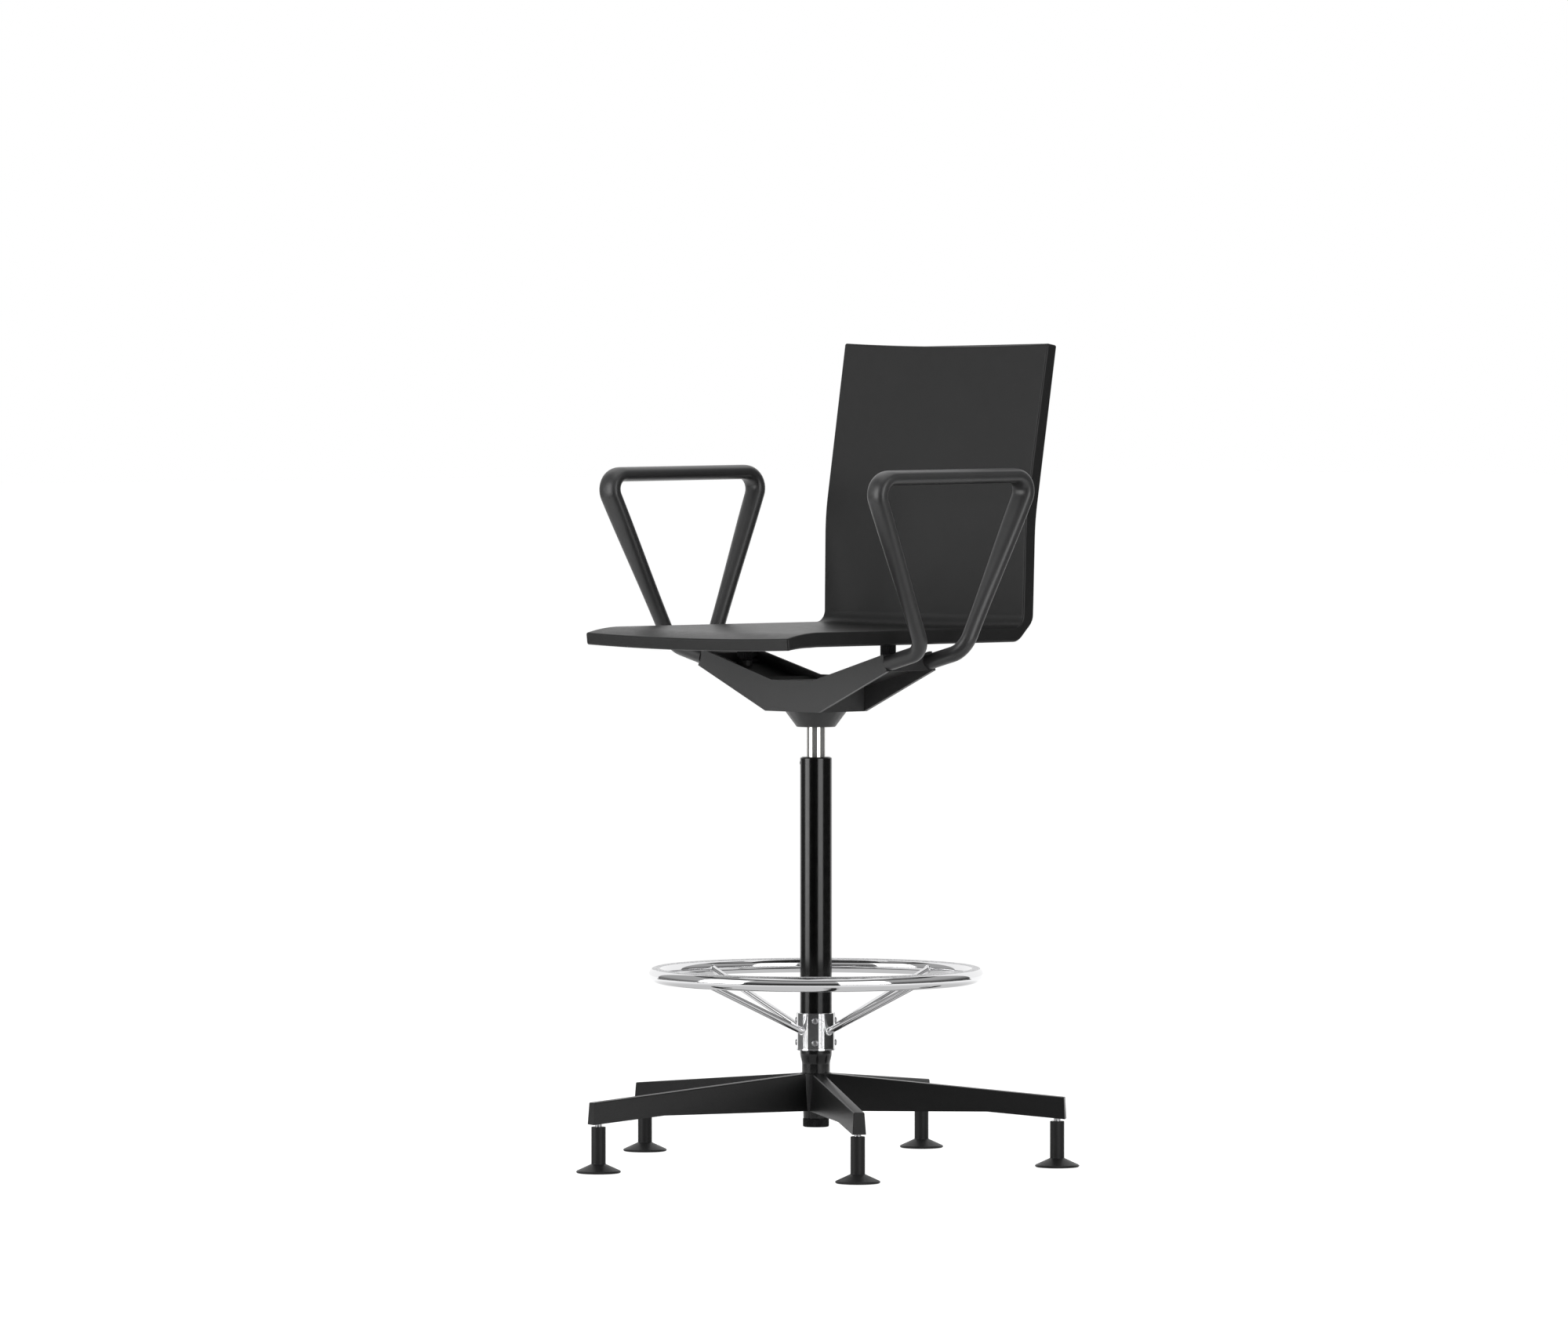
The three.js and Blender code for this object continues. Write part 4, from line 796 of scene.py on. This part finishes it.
low, high = local_box("ring_collar")
lip = COLLAR_RADIUS + COLLAR_LIP
lip_top = low.z + COLLAR_LIP_HEIGHT
collar_profile = [
    (COLLAR_BORE, low.z), (lip - COLLAR_LIP_EDGE, low.z), (lip, low.z + COLLAR_LIP_EDGE),
    (lip, lip_top - COLLAR_LIP_EDGE), (COLLAR_RADIUS, lip_top + COLLAR_LIP),
    (COLLAR_RADIUS, high.z - COLLAR_TOP_EDGE), (COLLAR_RADIUS - COLLAR_TOP_EDGE, high.z),
    (COLLAR_BORE + COLLAR_TOP_EDGE, high.z), (COLLAR_BORE, high.z - COLLAR_TOP_EDGE),
]
mesh_piece("collar_sleeve", turned(collar_profile, segments=192), "base", "chrome",
           ("ring_collar",), look="collar_chrome")

spot_face = turned(eased(
    [(0, -SPOT_FACE_SINK), (SPOT_FACE_RADIUS, -SPOT_FACE_SINK),
     (SPOT_FACE_RADIUS, -SPOT_FACE_GAP), (0, -SPOT_FACE_GAP)],
    {2: SPOT_FACE_EDGE},
), segments=48)
for number in range(1, COLLAR_SCREW_COUNT + 1):
    node = f"collar_screw_{number}"
    line = collar_side(number)
    under_head = reach_along(node, line)[1] - COLLAR_SCREW["head_height"]
    seat = line * under_head + Vector((0, 0, middle(node).z))
    mesh_piece(f"collar_pad_{number}", set_along(spot_face, line, seat), "base", "chrome")

spoke_start = Vector((COLUMN_RADIUS + SPOKE_INSET, 0, (low.z + high.z) / 2))
spoke_end = Vector((RING_RADIUS, 0, RING_Z + SPOKE_RISE))


def meeting(inside):
    """The closed curve where a spoke's surface meets another, which inside(point) tells."""
    line = spoke_end - spoke_start
    side = Vector((0, 1, 0))
    over = line.cross(side).normalized()
    points = []
    for k in range(WELD_STEPS):
        angle = 2 * math.pi * k / WELD_STEPS
        start = spoke_start + (side * math.cos(angle) + over * math.sin(angle)) * SPOKE_RADIUS
        low, high = 0.0, 1.0
        for _ in range(HALVINGS):
            mid = (low + high) / 2
            if inside(start + line * mid) == inside(start):
                low = mid
            else:
                high = mid
        points.append(start + line * low)
    return points


def bead(index):
    """The weld's radius, rippled like laid drops."""
    return WELD_RADIUS * (1 + WELD_RIPPLE * math.sin(2 * math.pi * index / WELD_DROP))


def in_collar(point):
    return math.hypot(point.x, point.y) < COLLAR_RADIUS


def in_ring(point):
    return math.hypot(math.hypot(point.x, point.y) - RING_RADIUS, point.z - RING_Z) < RING_TUBE


spoke_path = [spoke_start.lerp(spoke_end, t) for t in fractions(SPOKE_STEPS)]
spoke = tube(spoke_path, SPOKE_RADIUS, sides=40)
welds = {"collar": tube(meeting(in_collar), bead, sides=12, closed=True),
         "ring": tube(meeting(in_ring), bead, sides=12, closed=True)}
for number in range(1, SPOKE_COUNT + 1):
    turn = Matrix.Rotation(2 * math.pi * (number - 1) / SPOKE_COUNT, 4, "Z")
    mesh_piece(f"spoke_{number}", placed(spoke, turn), "base", "chrome",
               (f"ring_spoke_{number}",))
    for place, weld in welds.items():
        mesh_piece(f"weld_{place}_{number}", placed(weld, turn), "base", "chrome")

# ------------------------------------------------------------------ carrier, lever and posts

POST_RIBS = 28
POST_RIB_DEPTH = 0.7
POST_BORE = 4.3
POST_ROUND = 0.8

softened("carrier", "carrier_casting", width=1.0)
softened("release_lever", "lever_blade", width=0.5)
softened("lever_grip", "lever_paddle", width=1.2)

low, high = local_box("seat_post_left")
post_radius = half_width("seat_post_left")


def ribbed(radius, height, angle):
    """Ribs down a post's wall."""
    if radius < post_radius - WALL_DEPTH:
        return radius
    return radius - POST_RIB_DEPTH * (0.5 - 0.5 * math.cos(POST_RIBS * angle)) ** 2


post_profile = eased(
    [(POST_BORE, low.z), (post_radius, low.z), (post_radius, high.z), (POST_BORE, high.z)],
    {1: POST_ROUND, 2: POST_ROUND},
)
post = turned(post_profile, POST_RIBS * RELIEF_STEPS, ribbed)
for side in ("left", "right"):
    node = f"seat_post_{side}"
    mesh_piece(f"rubber_post_{side}", beside(post, node), "seat", "post_rubber", (node,))

# ------------------------------------------------------------------ shell

SEAT_Z = 789.8
SEAT_FRONT_Y = -258
SEAT_FRONT_DROP = 7.5
SEAT_FRONT_ROLL = 62
SEAT_WIDTH_FRONT = 438
WAIST_WIDTH = 431
INNER_CORNER_RADIUS = 18
BACK_FACE_Y = 214.4
BACK_WIDTH_TOP = 439
BACK_HEIGHT = 416.3
BACK_LOWER_LEAN = math.radians(1.2)
BACK_LEAN = math.radians(9.5)
BACK_BEND_HEIGHT = 160
BACK_BEND_LENGTH = 60
BACK_TOP_DIP = 4
BACK_DIP_SHARE = 0.25                   # of the upper back, at its top
SHELL_THICKNESS = 21.5
SHELL_FRONT_THICKNESS = 18.2
SHELL_SWELL_SHARE = 1 / 1.4             # of the roll, in which the full thickness is reached
SHELL_TOP_THICKNESS = 19
SHELL_CORNER_THINNING = 5.2
SHELL_DISH = 4
SHELL_EDGE = 3
SHELL_ACROSS = 28
SHELL_ARC = range(0, 91, 15)
RIM_INSET = 0.7                         # of the edge's rounding, as the rim draws in
ROLL_STEPS, SEAT_STEPS, CORNER_STEPS = 14, 12, 20
LOWER_BACK_STEPS, BEND_STEPS, UPPER_BACK_STEPS = 5, 12, 16


def shell_stations():
    """(y, z, slope, width, thickness, dip) along the sitting face, from front to top."""
    front_y = SEAT_FRONT_Y + SHELL_EDGE
    top_z = SEAT_Z + BACK_HEIGHT - SHELL_EDGE
    places = []

    def on_seat(y, z, slope, thickness):
        share = (y - SEAT_FRONT_Y) / (BACK_FACE_Y - SEAT_FRONT_Y)
        width = blend(SEAT_WIDTH_FRONT, WAIST_WIDTH, share)
        places.append((y, z, slope, width, thickness, 0))

    def on_back(y, z, lean, thickness=SHELL_THICKNESS, dip=0):
        width = blend(WAIST_WIDTH, BACK_WIDTH_TOP, (z - SEAT_Z) / BACK_HEIGHT)
        places.append((y, z, math.pi / 2 - lean, width, thickness, dip))

    for t in fractions(ROLL_STEPS):
        swell = min(1, t / SHELL_SWELL_SHARE)
        on_seat(front_y + SEAT_FRONT_ROLL * t, SEAT_Z - SEAT_FRONT_DROP * (1 - t) ** 2,
                math.atan(SEAT_FRONT_DROP / SEAT_FRONT_ROLL * (1 - t)),
                blend(SHELL_FRONT_THICKNESS, SHELL_THICKNESS, swell))

    lean = BACK_LOWER_LEAN
    tangent = INNER_CORNER_RADIUS * (1 - math.sin(lean)) / math.cos(lean)
    corner_y = BACK_FACE_Y + tangent * math.sin(lean) - INNER_CORNER_RADIUS * math.cos(lean)
    for t in fractions(SEAT_STEPS, True)[:-1]:
        on_seat(blend(front_y + SEAT_FRONT_ROLL, corner_y, t), SEAT_Z, 0, SHELL_THICKNESS)
    for t in fractions(CORNER_STEPS):
        slope = (math.pi / 2 - lean) * t
        y = corner_y + INNER_CORNER_RADIUS * math.sin(slope)
        z = SEAT_Z + INNER_CORNER_RADIUS * (1 - math.cos(slope))
        thickness = SHELL_THICKNESS - SHELL_CORNER_THINNING * math.sin(math.pi * t) ** 2
        places.append((y, z, slope, WAIST_WIDTH, thickness, 0))

    corner_top_y, corner_top_z = places[-1][:2]
    turn = BACK_LEAN - lean
    bend_radius = BACK_BEND_LENGTH / turn
    bend_z = SEAT_Z + BACK_BEND_HEIGHT - bend_radius * math.tan(turn / 2) * math.cos(lean)
    bend_y = BACK_FACE_Y + (bend_z - SEAT_Z) * math.tan(lean)
    for t in fractions(LOWER_BACK_STEPS, True)[:-1]:
        on_back(blend(corner_top_y, bend_y, t), blend(corner_top_z, bend_z, t), lean)
    for t in fractions(BEND_STEPS):
        angle = lean + turn * t
        on_back(bend_y + bend_radius * (math.cos(lean) - math.cos(angle)),
                bend_z + bend_radius * (math.sin(angle) - math.sin(lean)), angle)
    end_y, end_z = places[-1][:2]
    for t in fractions(UPPER_BACK_STEPS, True):
        z = blend(end_z, top_z, t)
        on_back(end_y + (z - end_z) * math.tan(BACK_LEAN), z, BACK_LEAN,
                blend(SHELL_THICKNESS, SHELL_TOP_THICKNESS, t),
                BACK_TOP_DIP * max(0, 1 - (1 - t) / BACK_DIP_SHARE))
    return places


def shell_section(half, thickness, edge):
    """Across the shell: a dished slab with rounded edges."""
    x, low = half - edge, edge - thickness

    def corner(centre, start):
        return arc(centre, edge, [start + a for a in SHELL_ARC])

    def flat(start, z):
        return [(start * (1 - 2 * i / SHELL_ACROSS), z) for i in range(1, SHELL_ACROSS)]

    outline = [*corner((x, low), -90), *corner((x, -edge), 0), *flat(x, 0),
               *corner((-x, -edge), 90), *corner((-x, low), 180), *flat(-x, -thickness)]
    return [(x, z - SHELL_DISH * (1 - (x / half) ** 2)) for x, z in outline]


def shell_ring(place, inset=0.0, ahead=0.0):
    """The section set across the sitting face at a station, drawn in all round by an inset."""
    y, z, slope, width, thickness, dip = place
    half = width / 2
    up = Vector((0, -math.sin(slope), math.cos(slope)))
    along = Vector((0, math.cos(slope), math.sin(slope)))
    section = shell_section(half - inset, thickness - 2 * inset, SHELL_EDGE - inset * RIM_INSET)
    return [Vector((-x, y, z)) + up * (height - inset)
            + along * (ahead - dip * (1 - (x / half) ** 2)) for x, height in section]


def rounded_end(place, direction):
    """Rings that round the front or the top edge like the sides."""
    return [shell_ring(place, SHELL_EDGE - inner, direction * outer)
            for inner, outer in arc((0, 0), SHELL_EDGE, SHELL_ARC[1:])]


stations = shell_stations()
shell_rings = [*reversed(rounded_end(stations[0], -1)), *[shell_ring(place) for place in stations],
               *rounded_end(stations[-1], 1)]
mesh_piece("moulded_shell", lofted(shell_rings), "seat", "shell_skin", ("shell",), sharp=50)

# ------------------------------------------------------------------ armrests

ARMREST_HEIGHT = 222
ARMREST_REAR_RISE = 2
ARMREST_TOP_X = 291.5
ARMREST_SEAT_X = 275
ARMREST_SEAT_Y = 55
ARMREST_REAR_Y = 156.5
ARMREST_FRONT_Y = 160.4
ARMREST_TOP_ROUND = 23.5
ARMREST_FOOT_ROUND = 34
ARMREST_THICKNESS = 22.5
ARMREST_TOP_THICKNESS = 21.6
ARMREST_TOP_WIDTH = 36
ARMREST_FOOT_WIDTH = 23
ARMREST_SWELL_FOOT = 10                 # below the seat
ARMREST_SWELL_TOP = 0.9 * ARMREST_HEIGHT
ARMREST_SQUARENESS = 2.5                # the top bar's section, where an ellipse has 2
ARMREST_SIDES = 40
STRAIGHT_STEPS = 12
CURVE_STEPS = 14
ROOT_RISE = math.radians(14)
ROOT_LINE = Vector((math.cos(ROOT_RISE), 0, math.sin(ROOT_RISE)))
ROOT_SPOT_DEPTH = 1
ROOT_FIT = 0.3
YOKE_TIP = Vector((200, 40, 742.05))


def armrest_side(top_y, height, sign):
    """(corner, radius of its bend) from the root to the top bar, on one side."""

    def leg(z):
        share = (z - SEAT_Z) / height
        y = blend(ARMREST_SEAT_Y, top_y, share)
        return Vector((blend(ARMREST_SEAT_X, ARMREST_TOP_X, share), sign * y, z))

    root = YOKE_TIP - ROOT_LINE * ROOT_SPOT_DEPTH
    lean = (ARMREST_TOP_X - ARMREST_SEAT_X) / height
    run = (ARMREST_SEAT_X - root.x) + (root.z - SEAT_Z) * lean
    rise = run / (1 / math.tan(ROOT_RISE) - lean)
    entry = root + ROOT_LINE * ROOT_FIT
    entry.y *= sign
    return [(entry, 0), (leg(root.z + rise), ARMREST_FOOT_ROUND),
            (leg(SEAT_Z + height), ARMREST_TOP_ROUND)]


def armrest_path():
    """The centre line: short straight steps and fine bends."""
    rear = armrest_side(ARMREST_REAR_Y, ARMREST_HEIGHT + ARMREST_REAR_RISE, 1)
    front = armrest_side(ARMREST_FRONT_Y, ARMREST_HEIGHT, -1)
    corners = [*rear, *reversed(front)]
    points = [corners[0][0]]
    for (before, _), (at, radius), (after, _) in zip(corners, corners[1:], corners[2:]):
        back, ahead = (before - at).normalized(), (after - at).normalized()
        half = back.angle(ahead) / 2
        start = at + back * radius / math.tan(half)
        centre = at + (back + ahead).normalized() * radius / math.sin(half)
        axis = ahead.cross(back).normalized()
        last = points[-1]
        points += [last.lerp(start, t) for t in fractions(STRAIGHT_STEPS, True)[:-1]]
        for t in fractions(CURVE_STEPS):
            turn = Matrix.Rotation((math.pi - 2 * half) * t, 4, axis)
            points.append(turn @ (start - centre) + centre)
    last, end = points[-1], corners[-1][0]
    return points + [last.lerp(end, t) for t in fractions(STRAIGHT_STEPS, True)]


def armrest_oval(z):
    """The section: a wide soft oval at the top, round at the roots."""
    climbed = (z - SEAT_Z + ARMREST_SWELL_FOOT) / (ARMREST_SWELL_TOP + ARMREST_SWELL_FOOT)
    share = smooth_step(min(1, max(0, climbed)))
    wide = blend(ARMREST_FOOT_WIDTH, ARMREST_TOP_WIDTH, share) / 2
    deep = blend(ARMREST_THICKNESS, ARMREST_TOP_THICKNESS, share) / 2
    power = 2 / blend(2, ARMREST_SQUARENESS, share)

    def bulge(value):
        return math.copysign(abs(value) ** power, value)

    turns = [360 * (i + 0.5) / ARMREST_SIDES for i in range(ARMREST_SIDES)]
    return [(wide * bulge(x), deep * bulge(y)) for x, y in arc((0, 0), 1, turns)]


def armrest_bar():
    path = armrest_path()
    last = len(path) - 1
    tangents = [(path[min(last, i + 1)] - path[max(0, i - 1)]).normalized()
                for i in range(last + 1)]
    tangents[0] = ROOT_LINE.copy()
    tangents[-1] = -ROOT_LINE
    mid = len(path) // 2
    wide = {mid: Vector((1, 0, 0))}
    for step, stop in ((1, last), (-1, 0)):
        for i in range(mid, stop, step):
            turn = tangents[i].rotation_difference(tangents[i + step])
            wide[i + step] = turn @ wide[i]
    rings = []
    for i, point in enumerate(path):
        deep = tangents[i].cross(wide[i])
        rings.append([point + wide[i] * x + deep * y for x, y in armrest_oval(point.z)])
    return lofted(rings)


armrest = armrest_bar()
mirror = Matrix.Scale(-1, 4, (1, 0, 0))
for side, shape in (("left", armrest), ("right", placed(armrest, mirror))):
    mesh_piece(f"armrest_loop_{side}", shape, "seat", "armrest_skin", (f"armrest_{side}",),
               sharp=50)

# ------------------------------------------------------------------ floor, light and surroundings

WHITE = (1, 1, 1, 1)
WORLD_FILL = 0.26                       # the world's strength for the object's diffuse light
FLOOR_REACH = 60
FLOOR_Z = -0.0003                       # just under the glides' feet
PAPER_WHITE = 0.72
FLOOR_GLOW = 1.28
FLOOR_GLOW_SHARE = 0.75
# the floor's glow in reflections: painted light, dimmed near the chair as painted shade
FLOOR_SHEEN = (0.5, 1.2, 0.62, 1.1)     # from and to this far from the axis, and the strengths
CARD_RADIUS = 3.2
CARD_TOP = 3.2
CARD_FOOT = 0.002
CARD_STEPS = 24
APRON_RADIUS = 1.7
FENCE = [(1.8, 0.105), (1.8, CARD_FOOT)]
EAVES = [(2.5, 3.4), (CARD_RADIUS, CARD_TOP)]
CANOPY = [(1.7, 3.5), (2.5, 3.4)]
LAMP_AIM = 0.7                          # height that the lamps look at


def emptied(owner):
    """A material's or a world's node tree with nothing in it."""
    owner.use_nodes = True
    owner.node_tree.nodes.clear()
    return owner.node_tree


def white_light(tree, kind, strength=1.0):
    node = tree.nodes.new(kind)
    node.inputs["Color"].default_value = WHITE
    node.inputs["Strength"].default_value = strength
    return node


def mixed(tree, factor, first, second):
    """Two shaders mixed: the factor is a number or a node's output."""
    mix = tree.nodes.new("ShaderNodeMixShader")
    if isinstance(factor, float):
        mix.inputs[0].default_value = factor
    else:
        tree.links.new(factor, mix.inputs[0])
    tree.links.new(first, mix.inputs[1])
    tree.links.new(second, mix.inputs[2])
    return mix.outputs[0]


def shown_to(tree, rays, seen, other):
    """One shader for the named rays and the other for the rest."""
    path = tree.nodes.new("ShaderNodeLightPath")
    factor = path.outputs[rays[0]]
    for ray in rays[1:]:
        greatest = tree.nodes.new("ShaderNodeMath")
        greatest.operation = "MAXIMUM"
        tree.links.new(factor, greatest.inputs[0])
        tree.links.new(path.outputs[ray], greatest.inputs[1])
        factor = greatest.outputs[0]
    return mixed(tree, factor, other, seen)


def ramped(tree, value, socket, limits):
    """Feeds a socket from a value: limits are the value's two ends, then the socket's."""
    ramp = tree.nodes.new("ShaderNodeMapRange")
    for name, number in zip(RANGE_SOCKETS, limits):
        ramp.inputs[name].default_value = number
    tree.links.new(value, ramp.inputs["Value"])
    tree.links.new(ramp.outputs["Result"], socket)


def make_world():
    """White to the camera and in reflections, and a soft grey fill on the object."""
    world = bpy.data.worlds.new("studio")
    bpy.context.scene.world = world
    tree = emptied(world)
    white = white_light(tree, "ShaderNodeBackground")
    fill = white_light(tree, "ShaderNodeBackground", WORLD_FILL)
    surface = shown_to(tree, ("Is Camera Ray", "Is Glossy Ray", "Is Transmission Ray"),
                       white.outputs[0], fill.outputs[0])
    out = tree.nodes.new("ShaderNodeOutputWorld")
    tree.links.new(surface, out.inputs["Surface"])


def stage_piece(name, verts, faces, material):
    mesh = bpy.data.meshes.new(name)
    mesh.from_pydata(verts, [], faces)
    mesh.materials.append(material)
    piece = bpy.data.objects.new(name, mesh)
    bpy.context.scene.collection.objects.link(piece)
    piece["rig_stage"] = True
    return piece


def make_floor():
    """White paper that keeps the chair's shadow; in reflections it glows as painted light, dimmer
    near the chair as painted shade.
    """
    material = bpy.data.materials.new("floor")
    tree = emptied(material)
    paper = tree.nodes.new("ShaderNodeBsdfDiffuse")
    paper.inputs["Color"].default_value = (PAPER_WHITE, PAPER_WHITE, PAPER_WHITE, 1)
    glow = white_light(tree, "ShaderNodeEmission", FLOOR_GLOW)
    bright = mixed(tree, FLOOR_GLOW_SHARE, paper.outputs[0], glow.outputs[0])
    # painted light: the floor glows in reflections, ramped darker near the chair as painted shade
    sheen = white_light(tree, "ShaderNodeEmission")
    place = tree.nodes.new("ShaderNodeTexCoord")
    distance = tree.nodes.new("ShaderNodeVectorMath")
    distance.operation = "DISTANCE"
    distance.inputs[1].default_value = AXIS
    tree.links.new(place.outputs["Object"], distance.inputs[0])
    ramped(tree, distance.outputs["Value"], sheen.inputs["Strength"], FLOOR_SHEEN)
    reflected = shown_to(tree, ("Is Glossy Ray",), sheen.outputs[0], paper.outputs[0])
    surface = shown_to(tree, ("Is Camera Ray", "Is Transmission Ray"), bright, reflected)
    out = tree.nodes.new("ShaderNodeOutputMaterial")
    tree.links.new(surface, out.inputs["Surface"])
    corners = [(x * FLOOR_REACH, y * FLOOR_REACH, FLOOR_Z)
               for x, y in ((-1, -1), (1, -1), (1, 1), (-1, 1))]
    stage_piece("floor", corners, [(0, 1, 2, 3)], material)


def on_bearing(bearing, radius, height):
    """A point off the camera's side of the chair, by degrees to its right."""
    turn = math.radians(CAMERA_AZIMUTH + bearing)
    return AXIS.x + radius * math.sin(turn), AXIS.y - radius * math.cos(turn), height


def screen(top=CARD_TOP, apron=CARD_RADIUS):
    """A card's rows of (radius, height): down the screen and in over the floor."""
    return list(dict.fromkeys([(CARD_RADIUS, top), (CARD_RADIUS, CARD_FOOT), (apron, CARD_FOOT)]))


def card(name, start, end, light, rows):
    """A curved screen between two bearings, seen only in reflections.

    The light is one strength, or limits for ramped() by height.
    """
    material = bpy.data.materials.new(name)
    tree = emptied(material)
    glow = white_light(tree, "ShaderNodeEmission")
    if isinstance(light, tuple):
        place = tree.nodes.new("ShaderNodeTexCoord")
        height = tree.nodes.new("ShaderNodeSeparateXYZ")
        tree.links.new(place.outputs["Object"], height.inputs[0])
        ramped(tree, height.outputs["Z"], glow.inputs["Strength"], light)
    else:
        glow.inputs["Strength"].default_value = light
    out = tree.nodes.new("ShaderNodeOutputMaterial")
    tree.links.new(glow.outputs[0], out.inputs["Surface"])
    verts = [on_bearing(blend(start, end, t), *row) for t in fractions(CARD_STEPS) for row in rows]
    count = len(rows)
    faces = [(i, i + count, i + count + 1, i + 1)
             for k in range(CARD_STEPS) for i in range(k * count, (k + 1) * count - 1)]
    piece = stage_piece(name, verts, faces, material)
    piece.visible_camera = False
    piece.visible_diffuse = False
    piece.visible_shadow = False
    piece.visible_transmission = False


def lamp(name, bearing, distance, height, size, watts):
    """An area lamp that faces the chair; the cards stand for it in reflections."""
    data = bpy.data.lights.new(name, "AREA")
    data.shape = "RECTANGLE"
    data.size, data.size_y = size
    data.energy = watts
    piece = bpy.data.objects.new(name, data)
    bpy.context.scene.collection.objects.link(piece)
    piece.location = on_bearing(bearing, distance, height)
    target = Vector((AXIS.x, AXIS.y, LAMP_AIM))
    piece.rotation_euler = (piece.location - target).to_track_quat("Z", "Y").to_euler()
    piece.visible_glossy = False


make_world()
make_floor()
card("card_left_far", -135, -86, (0.2, 1.0, 0.12, 0.40), screen())
card("card_left_lamp", -84, -50, 4.2, screen(top=2.4))
card("card_left_gap", -86, -47, 0.02, screen(top=0.1, apron=APRON_RADIUS))
card("card_centre", -49, 15, (0.3, 2.4, 0.006, 0.50), screen(apron=1.1))
card("card_right_lamp", 16, 50, 3.4, screen(top=2.4))
card("card_right_gap", 15, 51, 0.02, screen(top=0.1, apron=APRON_RADIUS))
card("card_right_far", 51, 128, (0.3, 1.6, 0.05, 0.40), screen())
card("fence_left", -135, -86, 0.16, FENCE)
card("fence_centre", -47, 15, 0.10, FENCE)
card("fence_right", 51, 128, 0.012, FENCE)
card("card_eaves", -135, 128, 0.06, EAVES)
card("card_canopy", -135, 128, 0.30, CANOPY)
lamp("lamp_left", -66, distance=2.6, height=1.1, size=(0.9, 2.2), watts=26)
lamp("lamp_right", 32, distance=2.6, height=1.1, size=(0.9, 2.2), watts=18)
lamp("lamp_top", 180, distance=0.5, height=3.0, size=(2.4, 2.4), watts=110)

bpy.context.scene.view_settings.view_transform = "Standard"

# ------------------------------------------------------------------ sizes, and the end

low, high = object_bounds()
